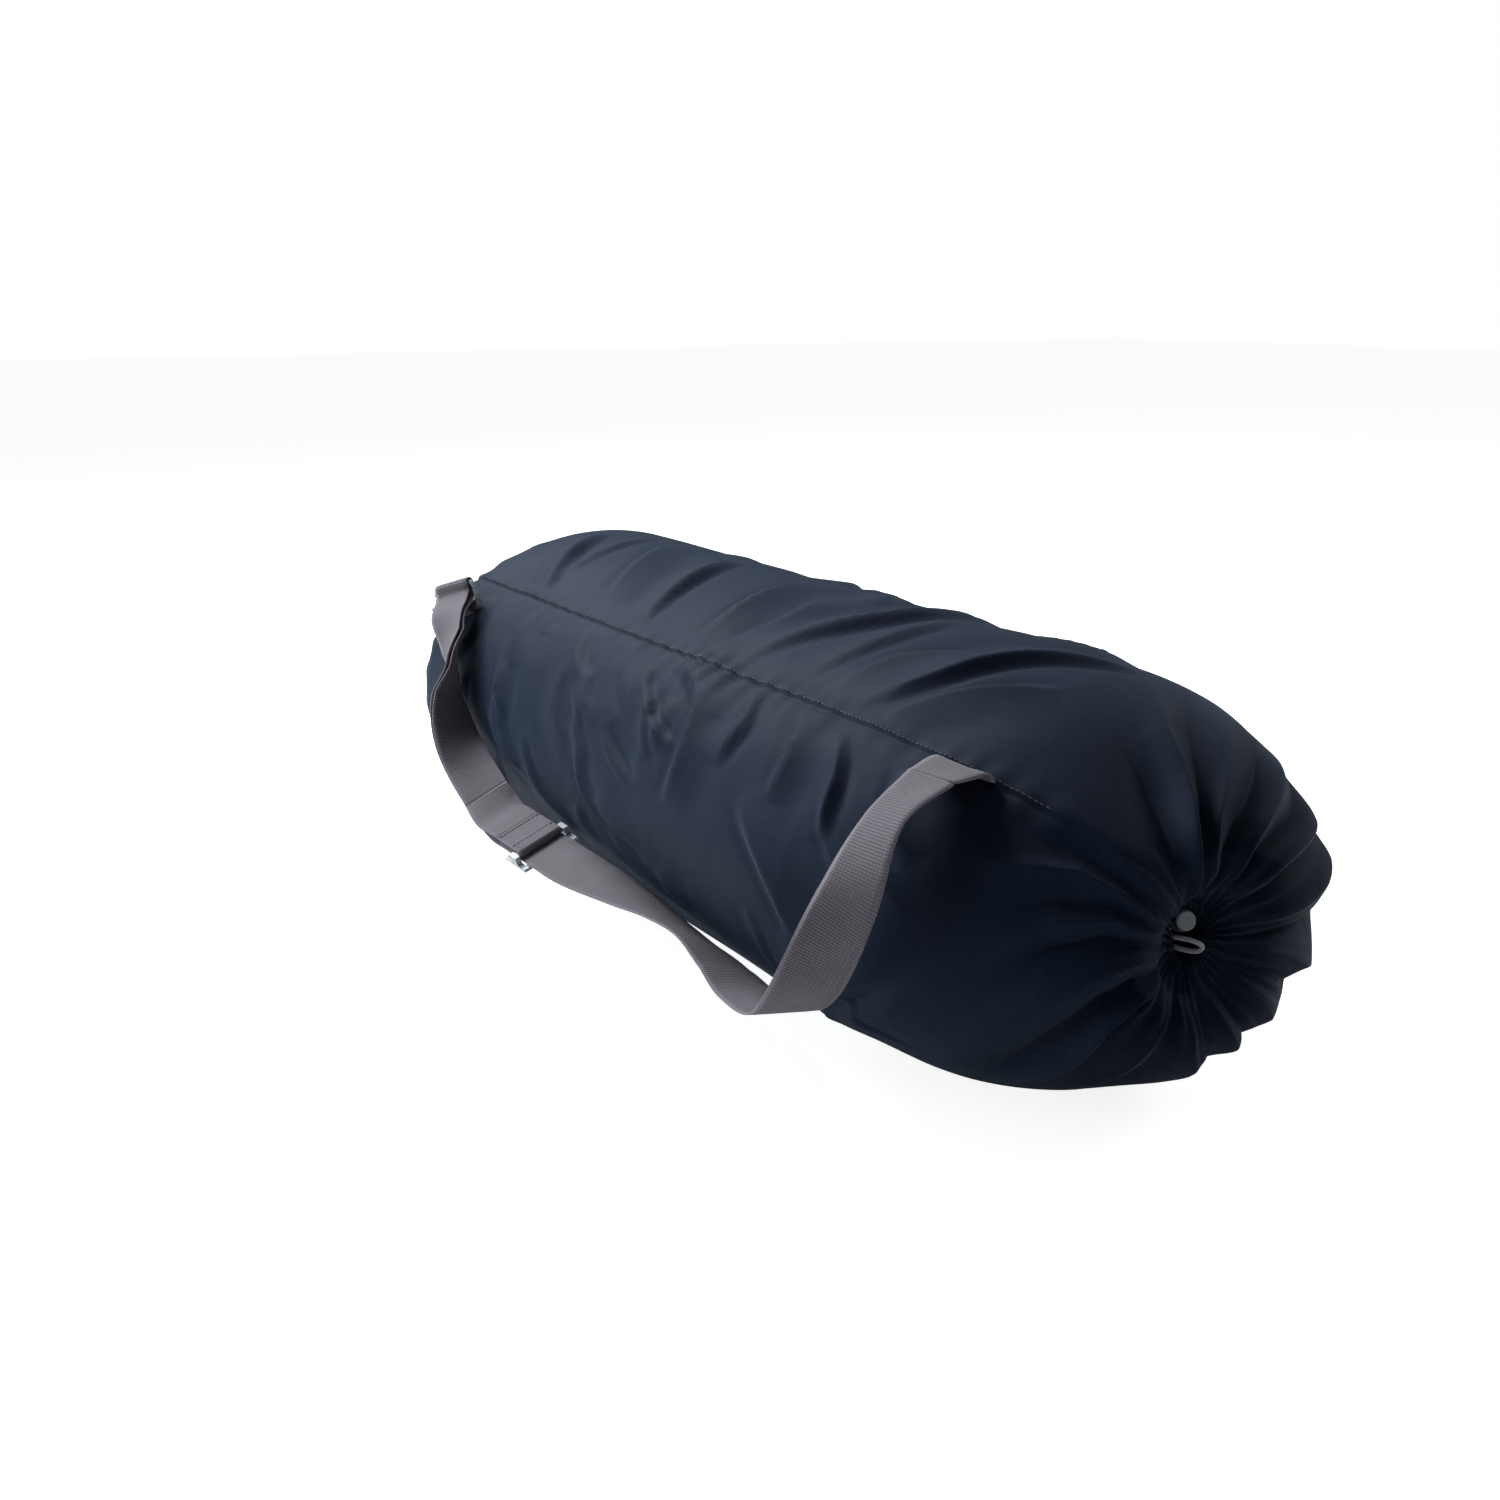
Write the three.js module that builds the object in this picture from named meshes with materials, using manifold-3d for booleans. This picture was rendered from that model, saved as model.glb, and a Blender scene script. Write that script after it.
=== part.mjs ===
// Cylindrical drawstring storage bag lying on its side, with a webbing shoulder strap.
// Millimetres. X runs along the bag towards its mouth, the strap hangs on the -Y side, +Z is up,
// and the origin is on the ground under the middle of the bag.
import * as THREE from 'three';
import { mergeVertices } from 'three/addons/utils/BufferGeometryUtils.js';
import Module from 'manifold-3d';

const wasm = await Module();
wasm.setup();

// ---- driving dimensions ----------------------------------------------------------------------
const WIDTH = 270; // bag across, lying down
const HEIGHT = 208; // bag from the ground to its top
const FLAT_SINK = 4; // how far the round bottom is pressed flat
const WALL = 3; // stand-in thickness of the fabric
const GAP = 0.4; // clearance between neighbouring pieces
const SEAM_ANGLE = 132; // lengthwise seam, degrees from +Y towards +Z

const FAR_RIM_X = -322; // where the panel meets the base panel
const FAR_RIM_R = 0.93;
const BASE_BULGE = 9;

const MOUTH = new THREE.Vector3(288, -10.7, 102.8); // centre of the gathered mouth
const CASING_R = 17.5; // middle of the casing tube, from the mouth centre
const CASING_TUBE = 4;
const CASING_BORE = 1.7;
const CASING_GAP_MIDDLE = 116; // where the casing's two ends part, degrees from +Y
const CASING_GAP = 120;
const CORD = 2.2;

const WEB_WIDTH = 30;
const WEB_THICK = 1.2;

const LOCK_FACE = new THREE.Vector3(291, -17.2, 114.6); // middle of the push button's face
const LOCK_AXIS = new THREE.Vector3(0.88, -0.36, 0.3).normalize(); // the way the button faces
const LOCK_CORDS_DEPTH = 11; // cord channel below the face
const BUTTON_R = 4.5;
const BUTTON_THICK = 2.2;
const BUTTON_TRAVEL = 2.5;
const STEM_R = 3.5;
const STEM_LENGTH = 13;
const BARREL_R = 5.5;
const BARREL_LENGTH = 16;
const BARREL_BORE_R = 3.8;
const BARREL_FLOOR = 2;

const SLIDER = new THREE.Vector3(-92, -147, 58); // middle of the slider, on the strap
const SLIDER_ALONG = new THREE.Vector3(-0.997, -0.065, 0.045).normalize();
const SLIDER_ACROSS = new THREE.Vector3(-0.05, 0.93, 0.36).normalize();
const SLIDER_WIDTH = 38;
const SLIDER_LENGTH = 24;

const LOOP_BAR = new THREE.Vector3(-281, -119, 182); // bar of the rectangular loop in the strap
const LOOP_ACROSS = new THREE.Vector3(-0.853, -0.422, -0.3).normalize();
const LOOP_DROP = new THREE.Vector3(0, 0, -1); // from the strap's bar to the tab's bar
const LOOP_BAR_SPACING = 17;
const LOOP_WIRE_R = 2;
const LOOP_INNER_WIDTH = 32;

// ---- helpers ---------------------------------------------------------------------------------
const rad = THREE.MathUtils.degToRad;
const mix = THREE.MathUtils.lerp;
const V = (x, y, z) => new THREE.Vector3(x, y, z);

function material(color, roughness, metalness = 0) {
  return new THREE.MeshStandardMaterial({ color, roughness, metalness });
}

const NAVY = () => material(0x121a2b, 0.6);
const NAVY_TAPE = () => material(0x0e1420, 0.8);
const WEBBING = () => material(0x625c68, 0.85);
const PALE_PLASTIC = () => material(0xa9b3be, 0.35);
const DARK_PLASTIC = () => material(0x20242a, 0.45);
const CORD_GREY = () => material(0xaab0b8, 0.7);
const THREAD = () => material(0x2a2a33, 0.8);
const STEEL = () => material(0xb8bcc0, 0.3, 1);

// One closed body from rings of points. A ring is a list of points, all of one length. The last ring
// joins the first (wrap), or each end is closed by a fan round its middle.
function loft(rings, wrap = false) {
  const count = rings[0].length;
  const positions = rings.flat().flatMap((p) => [p.x, p.y, p.z]);
  const triangles = [];
  const spans = wrap ? rings.length : rings.length - 1;
  for (let i = 0; i < spans; i++) {
    const next = (i + 1) % rings.length;
    for (let j = 0; j < count; j++) {
      const k = (j + 1) % count;
      const [a, b, c, d] = [i * count + j, i * count + k, next * count + k, next * count + j];
      triangles.push(a, b, c, a, c, d);
    }
  }
  if (!wrap) {
    addFan(positions, triangles, rings[0], 0, false);
    addFan(positions, triangles, rings.at(-1), (rings.length - 1) * count, true);
  }
  const geometry = new THREE.BufferGeometry();
  geometry.setAttribute('position', new THREE.Float32BufferAttribute(positions, 3));
  geometry.setIndex(triangles);
  return facingOut(geometry);
}

function addFan(positions, triangles, ring, start, forward) {
  const middle = new THREE.Vector3();
  ring.forEach((p) => middle.addScaledVector(p, 1 / ring.length));
  const centre = positions.length / 3;
  positions.push(middle.x, middle.y, middle.z);
  for (let j = 0; j < ring.length; j++) {
    const a = start + j;
    const b = start + ((j + 1) % ring.length);
    triangles.push(...(forward ? [a, b, centre] : [b, a, centre]));
  }
}

// Turns every triangle round when the closed body's volume comes out negative.
function facingOut(geometry) {
  const p = geometry.getAttribute('position');
  const index = geometry.index.array;
  const [a, b, c] = [new THREE.Vector3(), new THREE.Vector3(), new THREE.Vector3()];
  let volume = 0;
  for (let i = 0; i < index.length; i += 3) {
    a.fromBufferAttribute(p, index[i]);
    b.fromBufferAttribute(p, index[i + 1]);
    c.fromBufferAttribute(p, index[i + 2]);
    volume += a.dot(b.cross(c));
  }
  if (volume < 0) {
    for (let i = 0; i < index.length; i += 3) {
      [index[i + 1], index[i + 2]] = [index[i + 2], index[i + 1]];
    }
  }
  geometry.computeVertexNormals();
  return geometry;
}

function circleRing(centre, u, v, radius, sides) {
  return Array.from({ length: sides }, (_, i) => {
    const a = (2 * Math.PI * i) / sides;
    return centre.clone().addScaledVector(u, radius * Math.cos(a)).addScaledVector(v, radius * Math.sin(a));
  });
}

// A tube of constant radius along a curve, as an extrusion of a round section.
function tube(points, diameter, steps, sides = 8) {
  const section = new THREE.Shape();
  for (let i = 0; i < sides; i++) {
    const a = (2 * Math.PI * i) / sides;
    const [x, y] = [(diameter / 2) * Math.cos(a), (diameter / 2) * Math.sin(a)];
    if (i === 0) section.moveTo(x, y);
    else section.lineTo(x, y);
  }
  section.closePath();
  const extrudePath = new THREE.CatmullRomCurve3(points);
  return new THREE.ExtrudeGeometry(section, { steps, bevelEnabled: false, extrudePath });
}

function toManifold(geometry) {
  const bare = geometry.clone();
  bare.deleteAttribute('normal');
  bare.deleteAttribute('uv');
  const merged = mergeVertices(bare, 1e-4);
  const mesh = new wasm.Mesh({
    numProp: 3,
    vertProperties: new Float32Array(merged.getAttribute('position').array),
    triVerts: new Uint32Array(merged.index.array),
  });
  return new wasm.Manifold(mesh);
}

function fromManifold(solid) {
  const { vertProperties, triVerts } = solid.getMesh();
  const geometry = new THREE.BufferGeometry();
  geometry.setAttribute('position', new THREE.Float32BufferAttribute(vertProperties, 3));
  geometry.setIndex(Array.from(triVerts));
  geometry.computeVertexNormals();
  return geometry;
}

// A box between two corners.
function block(low, high) {
  const size = high.map((h, i) => h - low[i]);
  const geometry = new THREE.BoxGeometry(...size);
  geometry.translate(...high.map((h, i) => (h + low[i]) / 2));
  return geometry;
}

// Places a shape made round the origin: its X, Y and Z go to the three directions given.
function placed(geometry, origin, xDir, yDir, zDir) {
  const turn = new THREE.Matrix4().makeBasis(xDir, yDir, zDir).setPosition(origin);
  return geometry.applyMatrix4(turn);
}

const bag = new THREE.Group();

function add(name, geometry, surface) {
  const mesh = new THREE.Mesh(geometry, surface);
  mesh.name = name;
  bag.add(mesh);
}

// ---- bag shell -------------------------------------------------------------------------------
// A point of the bag's section at x: size is 1 on the full body, inset is measured inwards.
function sectionPoint(x, size, angle, inset = 0, floor = inset) {
  const roundness = THREE.MathUtils.smoothstep(size, 0.15, 0.7);
  const towardMouth = x > 0 ? 1 - roundness : 0;
  const halfWidth = (size * WIDTH) / 2 - inset;
  const bodyHalfHeight = (size * (HEIGHT + FLAT_SINK)) / 2;
  const halfHeight = mix(bodyHalfHeight, (size * WIDTH) / 2, towardMouth) - inset;
  const middleZ = mix((HEIGHT - FLAT_SINK) / 2, MOUTH.z, towardMouth);
  const y = mix(0, MOUTH.y, towardMouth) + halfWidth * Math.cos(angle);
  const z = middleZ + halfHeight * Math.sin(angle);
  return V(x, y, Math.max(z, floor));
}

function sectionRing(x, size, inset, floor) {
  return Array.from({ length: PANEL_SIDES }, (_, i) => {
    const angle = (2 * Math.PI * i) / PANEL_SIDES;
    return sectionPoint(x, size, angle, inset, floor);
  });
}

// Body profile as (x, size): the far corner, the straight body, the rounded shoulder and the
// dimple that runs in to the gathered mouth.
const MOUTH_RIM_R = (CASING_R + CASING_TUBE + GAP + WALL / 2) / (WIDTH / 2);
const SHOULDER = new THREE.SplineCurve([
  new THREE.Vector2(150, 1),
  new THREE.Vector2(215, 0.93),
  new THREE.Vector2(259, 0.77),
  new THREE.Vector2(287, 0.58),
  new THREE.Vector2(299, 0.4),
  new THREE.Vector2(299.5, 0.28),
  new THREE.Vector2(MOUTH.x + 3, MOUTH_RIM_R),
]);
const FAR_CORNER = new THREE.SplineCurve([
  new THREE.Vector2(FAR_RIM_X, FAR_RIM_R),
  new THREE.Vector2(-315, 0.97),
  new THREE.Vector2(-300, 1),
]);
const BODY_STEPS = 7;
const SHOULDER_STEPS = 14;
const PANEL_SIDES = 40;

function bodyProfile() {
  const far = FAR_CORNER.getPoints(3);
  const near = SHOULDER.getPoints(SHOULDER_STEPS);
  const straight = [];
  for (let i = 1; i < BODY_STEPS; i++) {
    straight.push(new THREE.Vector2(mix(far.at(-1).x, near[0].x, i / BODY_STEPS), 1));
  }
  return [...far, ...straight, ...near];
}

// Profile moved inwards by the wall, square to itself.
function innerProfile(profile) {
  const half = WIDTH / 2;
  return profile.map((p, i) => {
    const before = profile[Math.max(i - 1, 0)];
    const after = profile[Math.min(i + 1, profile.length - 1)];
    const along = new THREE.Vector2(after.x - before.x, (after.y - before.y) * half).normalize();
    return new THREE.Vector2(p.x + along.y * WALL, p.y - (along.x * WALL) / half);
  });
}

function bodyPanel() {
  const profile = bodyProfile();
  const outer = profile.map((p) => sectionRing(p.x, p.y, 0, 0));
  const inner = innerProfile(profile).map((p) => sectionRing(p.x, p.y, 0, WALL));
  return loft([...outer, ...inner.reverse()], true);
}

// Round base panel, slightly bulged, set just inside the body panel's far rim.
function basePanel() {
  const rimSize = FAR_RIM_R - (WALL + GAP) / (WIDTH / 2);
  const sizes = [0.04, 0.35, 0.65, 0.9, 1];
  const bulge = (s) => FAR_RIM_X + WALL - BASE_BULGE * (1 - s * s);
  const outer = sizes.map((s) => sectionRing(bulge(s) - WALL, rimSize * s, 0, WALL + GAP));
  const inner = sizes.map((s) => sectionRing(bulge(s), rimSize * s, 0, WALL + GAP));
  return loft([...outer, ...inner.reverse()]);
}

// ---- seam bindings inside the bag ------------------------------------------------------------
const TAPE_THICK = 1.2;
const TAPE_GAP = 0.8;

// A point this far inside the panel's inner face, at one station of the inner profile.
function insidePoint(station, angle, depth) {
  return sectionPoint(station.x, station.y, angle, depth, WALL + depth);
}

function sideSeamBinding() {
  const tapeHalfAngle = rad(3.2);
  const middle = rad(SEAM_ANGLE);
  const stations = innerProfile(bodyProfile()).filter((p) => p.x > -296 && p.x < 200);
  const rings = stations.map((p) => [
    insidePoint(p, middle - tapeHalfAngle, TAPE_GAP),
    insidePoint(p, middle + tapeHalfAngle, TAPE_GAP),
    insidePoint(p, middle + tapeHalfAngle, TAPE_GAP + TAPE_THICK),
    insidePoint(p, middle - tapeHalfAngle, TAPE_GAP + TAPE_THICK),
  ]);
  return loft(rings);
}

function baseSeamBinding() {
  const [, far, , near] = innerProfile(bodyProfile());
  const rings = Array.from({ length: PANEL_SIDES }, (_, i) => {
    const angle = (2 * Math.PI * i) / PANEL_SIDES;
    return [
      insidePoint(near, angle, TAPE_GAP),
      insidePoint(far, angle, TAPE_GAP),
      insidePoint(far, angle, TAPE_GAP + TAPE_THICK),
      insidePoint(near, angle, TAPE_GAP + TAPE_THICK),
    ];
  });
  return loft(rings, true);
}

// ---- mouth: casing and drawcord --------------------------------------------------------------
function mouthPoint(radius, degrees, x = MOUTH.x) {
  const a = rad(degrees);
  return V(x, MOUTH.y + radius * Math.cos(a), MOUTH.z + radius * Math.sin(a));
}

// Hemmed channel round the mouth: a hollow tube bent into an open ring.
function mouthCasing() {
  const first = CASING_GAP_MIDDLE + CASING_GAP / 2;
  const steps = 26;
  const ring = (radius) => (i) => {
    const degrees = first + ((360 - CASING_GAP) * i) / steps;
    const outward = mouthPoint(1, degrees, 0).sub(mouthPoint(0, degrees, 0));
    const centre = mouthPoint(CASING_R, degrees);
    return circleRing(centre, outward, V(1, 0, 0), radius, 10);
  };
  const stations = Array.from({ length: steps + 1 }, (_, i) => i);
  const outer = stations.map(ring(CASING_TUBE));
  const inner = stations.map(ring(CASING_BORE));
  return loft([...outer, ...inner.reverse()], true);
}

const CORD_DIR = V(-0.176, -0.849, -0.499);
CORD_DIR.addScaledVector(LOCK_AXIS, -CORD_DIR.dot(LOCK_AXIS)).normalize(); // cords through the lock
const CORD_SIDE = new THREE.Vector3().crossVectors(CORD_DIR, LOCK_AXIS);
const LOCK_MIDDLE = LOCK_FACE.clone().addScaledVector(LOCK_AXIS, -LOCK_CORDS_DEPTH);
const CORD_OFFSET = 1.35; // the two cords lie side by side in the lock

function lockPoint(along, side) {
  return LOCK_MIDDLE.clone().addScaledVector(CORD_DIR, along).addScaledVector(CORD_SIDE, side);
}

const LOCK_EXIT = BARREL_R + 1.2;

// The held part of the cord: out of one side of the lock, round the casing, back in at the other.
function drawcord() {
  const first = CASING_GAP_MIDDLE + CASING_GAP / 2;
  const arcSteps = 14;
  const arc = Array.from({ length: arcSteps + 1 }, (_, i) =>
    mouthPoint(CASING_R, first + ((360 - CASING_GAP) * i) / arcSteps),
  );
  const leadIn = arc[0].clone().add(V(-1, 0, 3.5));
  const leadOut = arc.at(-1).clone().add(V(-1, -2.9, 2));
  const through = (side) => [-LOCK_EXIT, -3, 3, LOCK_EXIT].map((along) => lockPoint(along, side));
  return tube([...through(CORD_OFFSET), leadIn, ...arc, leadOut, ...through(-CORD_OFFSET)], CORD, 72);
}

// ---- free drawcord: a small loop at the mouth, then coiled on the bag's floor -----------------
const COIL = V(176, -2, 5); // middle of the coil's underside
const COIL_TURN_R = [12, 14.5]; // two columns of turns
const COIL_LAYERS = 3;

const LOOP_OUT = [
  lockPoint(LOCK_EXIT + 0.4, -CORD_OFFSET),
  lockPoint(LOCK_EXIT + 1.6, -CORD_OFFSET),
  V(284.5, -21.9, 106.4),
  V(290.5, -20.9, 107.4),
  V(296, -17.2, 106.8),
  V(297.5, -13.5, 104.1),
  V(295, -13.3, 101),
  V(289, -16.2, 100.3),
  V(280, -17.7, 99.8),
  V(270, -17.7, 92.8),
  V(261.9, -18, 74.4),
  V(254.9, -18.4, 52.1),
  V(243.1, -19.3, 31.5),
  V(224.3, -20, 18.5),
  V(199.5, -19.2, 14.2),
  V(183.1, -17.2, 13.4),
];

const LOOP_BACK = [
  lockPoint(-LOCK_EXIT - 0.4, CORD_OFFSET),
  lockPoint(-LOCK_EXIT - 2.4, CORD_OFFSET),
  V(276.5, -3.2, 112.8),
  V(270, -4.2, 105.8),
  V(261.9, -3.5, 88.4),
  V(254.9, -2.4, 66.1),
  V(246.6, 0.4, 43.6),
  V(232.5, 4.7, 24.9),
  V(214.8, 9.4, 15.8),
  V(194.8, 11.2, 14),
  V(179.5, 12.1, 13.2),
];

function drawcordCoil() {
  const inner = COIL_TURN_R[0] - CORD / 2;
  const outer = COIL_TURN_R[1] + CORD / 2;
  const height = COIL_LAYERS * CORD;
  const profile = [
    new THREE.Vector2(inner, 0),
    new THREE.Vector2(outer, 0),
    new THREE.Vector2(outer, height),
    new THREE.Vector2(inner, height),
    new THREE.Vector2(inner, 0),
  ];
  const geometry = new THREE.LatheGeometry(profile, 20);
  const [x, y, z] = [V(1, 0, 0), V(0, 0, 1), V(0, -1, 0)];
  return placed(geometry, COIL, x, y, z);
}

// ---- cord lock -------------------------------------------------------------------------------
// A turned piece on the lock's axis: profile points are (radius, depth below the button's face).
function turnedOnLock(points, sides = 20) {
  const profile = points.map(([r, depth]) => new THREE.Vector2(r, -depth));
  const geometry = new THREE.LatheGeometry(profile, sides);
  return placed(geometry, LOCK_FACE, CORD_DIR, LOCK_AXIS, CORD_SIDE);
}

// The slot that the cords run through, reaching across the whole lock.
function cordChannel(halfHeight, depth) {
  const reach = BARREL_R + 2;
  const slot = block([-reach, -halfHeight, -2.9], [reach, halfHeight, 2.9]);
  const centre = LOCK_FACE.clone().addScaledVector(LOCK_AXIS, -depth);
  return placed(slot, centre, CORD_DIR, LOCK_AXIS, CORD_SIDE);
}

function lockBarrel() {
  const top = BUTTON_THICK + BUTTON_TRAVEL + 0.5;
  const bottom = top + BARREL_LENGTH;
  const shell = turnedOnLock([
    [0, bottom],
    [BARREL_R - 1, bottom],
    [BARREL_R, bottom - 1],
    [BARREL_R, top + 0.8],
    [BARREL_R - 0.6, top],
    [BARREL_BORE_R, top],
    [BARREL_BORE_R, bottom - BARREL_FLOOR],
    [0, bottom - BARREL_FLOOR],
  ]);
  const solid = toManifold(shell).subtract(toManifold(cordChannel(1.6, LOCK_CORDS_DEPTH)));
  return fromManifold(solid);
}

function lockButton() {
  const stemEnd = BUTTON_THICK + STEM_LENGTH;
  const shell = turnedOnLock([
    [0, stemEnd],
    [STEM_R, stemEnd],
    [STEM_R, BUTTON_THICK],
    [BUTTON_R, BUTTON_THICK],
    [BUTTON_R, 0.7],
    [BUTTON_R - 0.7, 0],
    [0, 0],
  ]);
  const slotHalf = 2.8;
  const slotDepth = LOCK_CORDS_DEPTH - slotHalf + 1.5;
  const solid = toManifold(shell).subtract(toManifold(cordChannel(slotHalf, slotDepth)));
  return fromManifold(solid);
}

function lockSpring() {
  const top = BUTTON_THICK + STEM_LENGTH + 0.3;
  const bottom = BUTTON_THICK + BUTTON_TRAVEL + 0.5 + BARREL_LENGTH - BARREL_FLOOR - 0.3;
  const wire = 0.5;
  const turns = 2.5;
  const coilR = 2.6;
  const steps = 30;
  const points = Array.from({ length: steps + 1 }, (_, i) => {
    const a = (2 * Math.PI * turns * i) / steps;
    const depth = mix(top + wire / 2, bottom - wire / 2, i / steps);
    return LOCK_FACE.clone()
      .addScaledVector(LOCK_AXIS, -depth)
      .addScaledVector(CORD_DIR, coilR * Math.cos(a))
      .addScaledVector(CORD_SIDE, coilR * Math.sin(a));
  });
  return tube(points, wire, steps * 2, 6);
}

// ---- webbing ---------------------------------------------------------------------------------
// A flat strip through stations of [centre, width direction].
function webbing(stations, steps, thick = WEB_THICK) {
  const centres = new THREE.CatmullRomCurve3(stations.map(([c]) => c));
  const acrosses = new THREE.CatmullRomCurve3(stations.map(([, w]) => w));
  const rings = Array.from({ length: steps + 1 }, (_, i) => {
    const t = i / steps;
    const along = centres.getTangent(t);
    const across = acrosses.getPoint(t);
    across.addScaledVector(along, -across.dot(along)).normalize();
    const normal = new THREE.Vector3().crossVectors(across, along);
    const centre = centres.getPoint(t);
    const corner = (w, n) =>
      centre.clone().addScaledVector(across, (w * WEB_WIDTH) / 2).addScaledVector(normal, (n * thick) / 2);
    return [corner(-1, -1), corner(1, -1), corner(1, 1), corner(-1, 1)];
  });
  return loft(rings);
}

const LEG_TURN_R = 3.3; // half the distance between the two legs where they go round the loop's bar
const LOOP_NORMAL = new THREE.Vector3().crossVectors(LOOP_ACROSS, V(0, 0, 1)).normalize();
const LOOP_UP = new THREE.Vector3().crossVectors(LOOP_NORMAL, LOOP_ACROSS).normalize();
const onSlider = (along) => SLIDER.clone().addScaledVector(SLIDER_ALONG, along);

function roundBar(degrees, drop = 0) {
  const a = rad(degrees);
  return LOOP_BAR.clone()
    .addScaledVector(LOOP_NORMAL, -LEG_TURN_R * Math.cos(a))
    .addScaledVector(LOOP_UP, LEG_TURN_R * Math.sin(a) - drop);
}

// From the seam near the mouth, hanging beside the bag in one long curve, up to the loop.
const STRAP_ROUTE = [
  [V(219, -85.4, 176.6), V(0.96, 0.2, -0.1)],
  [V(220, -103, 175), V(0.98, 0.08, 0.05)],
  [V(221, -128, 161), V(0.97, 0, 0.2)],
  [V(221, -148, 125), V(0.91, 0.36, -0.2)],
  [V(202, -155, 82), V(0.54, 0.81, -0.23)],
  [V(167, -146, 54), V(0.36, 0.93, -0.02)],
  [V(118, -134, 42), V(0.36, 0.93, -0.07)],
  [V(93, -131, 44.5), V(0.37, 0.88, -0.31)],
  [V(67, -131, 49.5), V(0.31, 0.8, -0.45)],
  [V(37, -133, 52), V(0.25, 0.88, -0.35)],
  [V(2, -137, 54), V(0.15, 0.97, -0.05)],
  [onSlider(-34), SLIDER_ACROSS],
  [onSlider(-16), SLIDER_ACROSS],
  [onSlider(0), SLIDER_ACROSS],
  [onSlider(20), SLIDER_ACROSS],
  [onSlider(36), SLIDER_ACROSS],
  [V(-162, -150, 70), V(0.01, 0.8, 0.6)],
  [V(-192, -151, 85), V(0.02, 0.9, 0.43)],
  [V(-210, -152, 101), V(-0.21, 0.97, 0.1)],
  [V(-223, -150, 120), V(-0.545, 0.84, 0)],
  [V(-232, -143, 137), V(-0.848, 0.53, 0)],
  [V(-249, -136, 153), V(-1, 0.06, -0.05)],
  [V(-264, -131, 167), V(-0.94, -0.28, -0.18)],
  [roundBar(0, 4), LOOP_ACROSS],
];

function shoulderWebbing() {
  const overBar = [0, 30, 60, 90, 120, 150, 180].map((degrees) => [roundBar(degrees), LOOP_ACROSS]);
  const window = LOOP_BAR.clone().addScaledVector(LOOP_UP, -7.5).addScaledVector(LOOP_NORMAL, 0.6);
  return webbing([...STRAP_ROUTE, ...overBar, [window, LOOP_ACROSS], ...returnLeg()], 150);
}

// The strap's second leg, inside the first, from the loop's bar down towards the slider.
function returnLeg() {
  const last = STRAP_ROUTE.length - 1;
  const spacings = [3.4, 3.2, 3, 3, 2.8, 2.8, 3.2];
  return spacings.map((spacing, i) => {
    const [centre, across] = STRAP_ROUTE[last - 1 - i];
    const above = STRAP_ROUTE[last - i][0];
    const below = STRAP_ROUTE[last - 2 - i][0];
    const along = above.clone().sub(below).normalize();
    const normal = new THREE.Vector3().crossVectors(across, along).normalize();
    return [centre.clone().addScaledVector(normal, spacing), across];
  });
}

// ---- slider and the hemmed webbing on its middle bar -----------------------------------------
function sliderPlaced(geometry) {
  const x = SLIDER_ALONG.clone();
  const y = SLIDER_ACROSS.clone().addScaledVector(x, -SLIDER_ACROSS.dot(x)).normalize();
  const z = new THREE.Vector3().crossVectors(y, x).normalize();
  return placed(geometry, SLIDER, x, y.negate(), z);
}

const PLATE_TOP = -1;
const PLATE_BOTTOM = -3;
const BAR_LOW = 2.7;
const BAR_HIGH = 4.1;
const BAR_HALF = 1.5;
const SIDE_RAIL = 3.2;
const END_BAR = 4;

function slider() {
  const halfLength = SLIDER_LENGTH / 2;
  const halfWidth = SLIDER_WIDTH / 2;
  const innerHalf = halfWidth - SIDE_RAIL;
  const pieces = [
    block([-halfLength, -halfWidth, PLATE_BOTTOM], [-halfLength + END_BAR, halfWidth, PLATE_TOP]),
    block([halfLength - END_BAR, -halfWidth, PLATE_BOTTOM], [halfLength, halfWidth, PLATE_TOP]),
    block([-halfLength, -halfWidth, PLATE_BOTTOM], [halfLength, -innerHalf, PLATE_TOP]),
    block([-halfLength, innerHalf, PLATE_BOTTOM], [halfLength, halfWidth, PLATE_TOP]),
    block([-END_BAR, -halfWidth, PLATE_TOP - 0.5], [END_BAR, -innerHalf, BAR_HIGH]),
    block([-END_BAR, innerHalf, PLATE_TOP - 0.5], [END_BAR, halfWidth, BAR_HIGH]),
    block([-BAR_HALF, -innerHalf - 0.5, BAR_LOW], [BAR_HALF, innerHalf + 0.5, BAR_HIGH]),
  ].map(toManifold);
  const solid = pieces.reduce((joined, piece) => joined.add(piece));
  return sliderPlaced(fromManifold(solid));
}

const HEM_LENGTH = 25;
const HEM_R = 1.85; // half the distance between the hem's layers, round the middle bar
const HEM_MIDDLE = (BAR_LOW + BAR_HIGH) / 2;

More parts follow.
